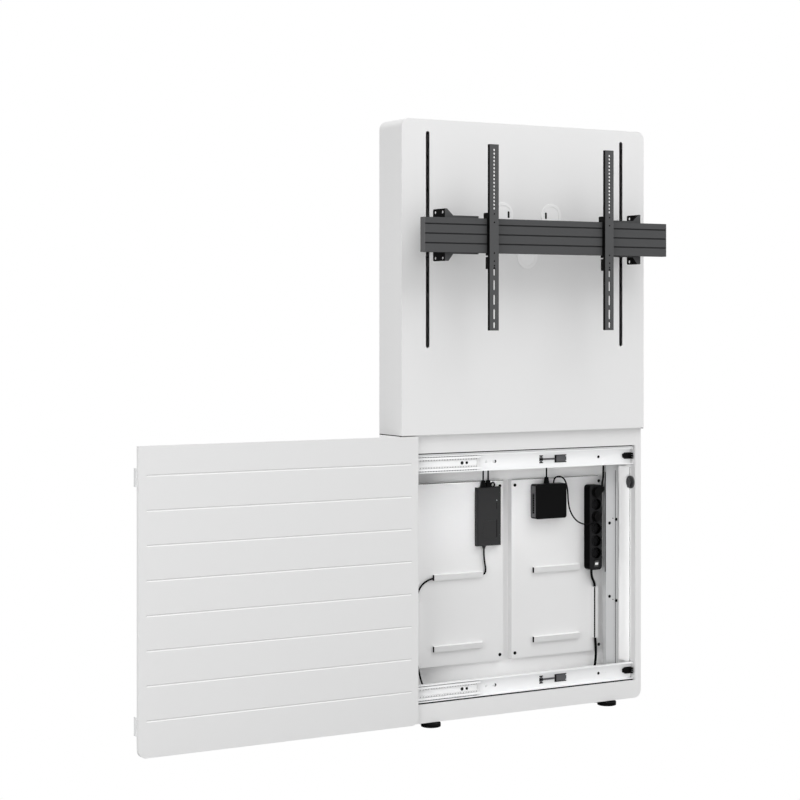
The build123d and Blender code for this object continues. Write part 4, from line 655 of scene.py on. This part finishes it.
def make_tray_shade_lines():
    """Painted shade: a dark line over each tray's top edge, a dark strip along the shaded left wall of the
    right tray's upright channel, and dark plates in the open left ends of the four level channels."""
    # Dark lines over the trays' top edges: painted shade
    line = (tray_high[2] - 0.6, tray_high[2] + 0.5)
    top_shade_lines = [plate(x_span, line, tray_front - 0.6, 0.5)
            for x_span in ((-tray_high[0], -tray_low[0]), (tray_low[0], 330.0))]
    mesh_piece("tray_top_shade_lines", top_shade_lines, "housing", "black_rubber", smooth=False)
    # Dark plates in the channels' open left ends: painted shade
    channel_x, channel_half_length, channel_levels = 174.6, 84.0, (204.8, 413.0)
    channel_ends = (-channel_x - channel_half_length, channel_x - channel_half_length)
    channel_end_shades = [plate((x - 0.4, x), about(z, 8.2), tray_front - 0.5, 7.0)
            for x in channel_ends for z in channel_levels]
    # A dark strip on the upright channel's shaded left wall: painted shade
    slot = plate(about(311.0, 2.4), about(271.0, 77.5), tray_ridge_front - 0.05, 0.3)
    mesh_piece("channel_shade_marks", [slot] + channel_end_shades, "housing", "black_rubber", smooth=False)


def make_cabinet_shade_lines():
    """Painted shade: dark lines along the right guide post's left edge and its groove, in front of the
    right liner and at the slides' right ends, where gaps and the groove lie in shade.
    """
    liner_low, liner_high = box_mm("side_liners")
    # Dark plates at the post's edge and groove, the liner's front and the slides' ends: painted shade
    post_edge = plate((330.8, 332.7), (396.0, 700.0), post_front + 4.0, 2.0)
    post_groove = plate((368.2, 370.0), (97.0, 704.0), post_front + 2.1, 0.3)
    liner_edge = plate((liner_high[0] - 1.4, liner_high[0]), (liner_low[2], liner_high[2]),
                       front_depth("side_liners") + 0.1, 0.6)
    slide_end_x = (slide_right_x + 5.6, slide_right_x + 8.4)
    slide_ends = [plate(slide_end_x, z_span, back_depth("outer_slide_lower") + 0.5, 0.6)
                  for z_span in ((70.0, 124.0), (724.0, 781.0))]
    mesh_piece("cabinet_shade_lines", [post_edge, post_groove, liner_edge] + slide_ends, "housing",
               "black_rubber", smooth=False)


def make_notch_sleeves():
    """A dark sleeve that shows in the notch of each outlet cap and turns with it."""
    notch_offset, half_width, half_height = 19.0, 3.3, 9.8
    upright, level = (half_width, half_height), (half_height, half_width)
    sleeves = {"cap_left": (notch_offset - outlet_x, outlet_upper_z, upright),
               "cap_right": (outlet_x - notch_offset, outlet_upper_z, upright),
               "cap_lower": (0.0, outlet_lower_z + notch_offset, level)}
    for body, (x, z, (wide, tall)) in sleeves.items():
        sleeve = plate(about(x, wide), about(z, tall), 0.6, 1.2)
        mesh_piece(f"notch_sleeve_{body}", [sleeve], body, "black_rubber", smooth=False)


def make_side_shade_lines():
    """A dark line painted at the joint between the upper housing and the cabinet, on both side walls:
    painted shade for the shaded gap of the joint.
    """
    housing_low, housing_high = box_mm("upper_shell")
    # Dark lines at the housing joint: painted shade
    line, sunk, proud = rectangle((2.0, 126.0), (-1.3, 1.3)), 0.6, 0.15
    shade_lines = [prism(line, at(side * housing_high[0], 0.0, housing_low[2] - 1.2), BACK, UP, RIGHT,
                   *sorted((-side * sunk, side * proud)))
             for side in SIDES]
    mesh_piece("side_shade_lines", shade_lines, "housing", "black_rubber", smooth=False)


def make_pin_holes():
    """Two small pin holes in the right guide post, drawn as dark plates: painted shade for their dark
    inside.
    """
    pin_x = post_x + 3.5
    # Dark plates for the pin holes: painted shade
    holes = [plate(about(pin_x, 1.9), about(z, 2.2), post_front + 0.7, 0.3) for z in (557.7, 309.9)]
    mesh_piece("post_pin_holes", holes, "housing", "black_rubber", smooth=False, material="black_plastic")


def make_rocker_lens():
    """The pale lens on the power switch's tilted face."""
    tilt = math.radians(10.0)
    face_up = (0.0, -math.sin(tilt), math.cos(tilt))
    face_out = (0.0, -math.cos(tilt), -math.sin(tilt))
    x, y, z = sum(box_mm("power_switch")) / 2.0
    outline = rectangle((-5.6, 5.6), (-3.4, 3.6))
    lens = prism(outline, at(x, y - FRONT_Y, z), RIGHT, face_up, face_out, 3.4, 4.0)
    mesh_piece("rocker_lens", [lens], "rocker", "rocker_black", smooth=False, material="white_plastic")


def make_player_frame():
    """The grey frame round the ports on the media player's left side."""
    side_x = box_mm("media_player")[0][0]
    frame_depths, frame_heights = (80.0, 103.0), (573.0, 666.0)
    port_depths, port_heights = (86.0, 96.5), (583.5, 643.5)
    shell = side_frame(side_x, frame_depths, frame_heights, port_depths, port_heights, 0.5)
    mesh_piece("player_side_frame", [shell], "housing", "player_black", smooth=False, material="port_grey")


def make_spindle(label):
    """One side's threaded spindle with a plain tip in its top bearing, in place of the plain rod."""
    low, high = box_mm(f"spindle_{label}")
    x, y = (low + high)[:2] / 2.0
    tip_length, core, crest, pitch = 8.0, 4.7, 6.0, 4.0
    tip_z = high[2] - tip_length
    tip_profile = [(4.0, 0.0), (4.0, tip_length - 0.6), (3.4, tip_length)]
    tip = lathe(tip_profile, at(x, y - FRONT_Y, tip_z), UP, count=24)
    shaft = thread(x, y - FRONT_Y, low[2], tip_z, core, crest, pitch)
    rod = mesh_piece(f"threaded_spindle_{label}", [shaft, tip], f"screw_{label}", "spindle_steel")
    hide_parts(f"spindle_{label}")


make_screws()
make_feet()
make_socket_contacts()
make_lamp_lens()
make_socket_rims()
make_outlet_foam()
make_control_details()
for level in slide_z:
    make_slide_details(level)
make_slide_flange()
make_tray_shade_lines()
make_cabinet_shade_lines()
make_notch_sleeves()
make_side_shade_lines()
make_pin_holes()
make_rocker_lens()
make_player_frame()
for label in ("left", "right"):
    make_spindle(label)


# Floor, world and lights
def make_floor():
    """A pale floor that takes soft shadows and looks plain white to the camera."""
    left, right, near, far = -9.0, 9.0, -7.0, 9.0
    mesh = bpy.data.meshes.new("floor")
    mesh.from_pydata([(left, near, 0.0), (right, near, 0.0), (right, far, 0.0), (left, far, 0.0)], [],
                     [(0, 1, 2, 3)])
    floor = bpy.data.objects.new("floor", mesh)
    bpy.context.scene.collection.objects.link(floor)
    material = bpy.data.materials.new("pale_floor")
    material.use_nodes = True
    graph = Graph(material.node_tree)
    body = material.node_tree.nodes["Principled BSDF"]
    body.inputs["Base Color"].default_value = (0.6, 0.6, 0.6, 1.0)
    body.inputs["Roughness"].default_value = 0.9
    glow = graph.node("ShaderNodeEmission")
    path = graph.node("ShaderNodeLightPath")
    mix = graph.node("ShaderNodeMixShader")
    graph.join(path.outputs["Is Camera Ray"], mix.inputs[0])
    graph.join(body.outputs[0], mix.inputs[1])
    graph.join(glow.outputs[0], mix.inputs[2])
    graph.join(mix.outputs[0], material.node_tree.nodes["Material Output"].inputs[0])
    mesh.materials.append(material)


def make_world():
    """A white studio: plain white to the camera, a fill for diffuse light that grows with the height it
    comes from, and a brighter front right for reflections."""
    world = bpy.data.worlds.new("studio")
    bpy.context.scene.world = world
    world.use_nodes = True
    graph = Graph(world.node_tree)
    seen = world.node_tree.nodes["Background"]
    seen.inputs["Color"].default_value = (1.0, 1.0, 1.0, 1.0)
    seen.inputs["Strength"].default_value = 1.0
    fill = graph.node("ShaderNodeBackground", Color=(1.0, 1.0, 1.0, 1.0))
    gloss = graph.node("ShaderNodeBackground", Color=(1.0, 1.0, 1.0, 1.0))
    way = graph.node("ShaderNodeTexCoord")
    rise = graph.node("ShaderNodeSeparateXYZ")
    overhead = graph.node("ShaderNodeMapRange")
    overhead.inputs["From Min"].default_value = -0.1
    overhead.inputs["To Min"].default_value = 0.50
    overhead.inputs["To Max"].default_value = 0.86
    toward = graph.node("ShaderNodeVectorMath", operation="DOT_PRODUCT")
    toward.inputs[1].default_value = (0.45, -0.80, 0.40)
    spread = graph.node("ShaderNodeMapRange")
    spread.inputs["From Min"].default_value = -0.25
    spread.inputs["From Max"].default_value = 0.85
    spread.inputs["To Min"].default_value = 0.10
    spread.inputs["To Max"].default_value = 1.1
    graph.join(way.outputs["Generated"], rise.inputs[0])
    graph.join(rise.outputs["Z"], overhead.inputs["Value"])
    graph.join(overhead.outputs[0], fill.inputs["Strength"])
    graph.join(way.outputs["Generated"], toward.inputs[0])
    graph.join(toward.outputs["Value"], spread.inputs["Value"])
    graph.join(spread.outputs[0], gloss.inputs["Strength"])
    ray = graph.node("ShaderNodeLightPath")
    bounce_mix = graph.node("ShaderNodeMixShader")
    graph.join(ray.outputs["Is Glossy Ray"], bounce_mix.inputs[0])
    graph.join(fill.outputs[0], bounce_mix.inputs[1])
    graph.join(gloss.outputs[0], bounce_mix.inputs[2])
    world_mix = graph.node("ShaderNodeMixShader")
    graph.join(ray.outputs["Is Camera Ray"], world_mix.inputs[0])
    graph.join(bounce_mix.outputs[0], world_mix.inputs[1])
    graph.join(seen.outputs[0], world_mix.inputs[2])
    graph.join(world_mix.outputs[0], world.node_tree.nodes["World Output"].inputs[0])


def panel_light(name, place, target, size, energy, in_gloss=False, lit=()):
    """A soft square light at a place, facing a target. With lit nodes, it falls on these alone."""
    data = bpy.data.lights.new(name, "AREA")
    data.size = size
    data.energy = energy
    light = bpy.data.objects.new(name, data)
    light.location = place
    light.rotation_euler = (Vector(target) - Vector(place)).to_track_quat("-Z", "Y").to_euler()
    light.visible_glossy = in_gloss
    bpy.context.scene.collection.objects.link(light)
    if lit:
        receivers = bpy.data.collections.new(name)
        for node in lit:
            receivers.objects.link(nodes[node])
        light.light_linking.receiver_collection = receivers
    return light


make_floor()
make_world()
panel_light("key_light", (1.2, -2.5, 5.0), (0.0, 0.0, 1.0), 3.2, 96.0, in_gloss=True)
panel_light("side_light", (-4.0, -1.9, 1.3), (0.2, 0.0, 0.8), 2.5, 42.0)

# Lights that open up the cabinet's inside
cabinet_place, cabinet_target = (-2.5, -1.5, 0.6), (0.4, 0.0, 0.43)
panel_light("cabinet_light", cabinet_place, cabinet_target, 1.5, 68.0,
            lit=("lower_back_panel", "lower_shell"))
panel_light("slide_light", cabinet_place, cabinet_target, 1.5, 44.0,
            lit=("outer_slide_lower", "outer_slide_upper", "middle_slide_lower", "middle_slide_upper",
                 "door_slide_members"))
panel_light("liner_light", (-1.4, -2.6, 0.6), cabinet_target, 0.6, 95.0, lit=("side_liners",))
tray_light = panel_light("tray_light", (-0.12, -1.5, 0.74), (-0.12, 0.04, 0.72), 0.60, 0.24,
                         lit=("left_tray", "right_tray"))
tray_light.data.shape = "RECTANGLE"
tray_light.data.size_y = 0.08
tray_light.data.spread = math.radians(26.0)
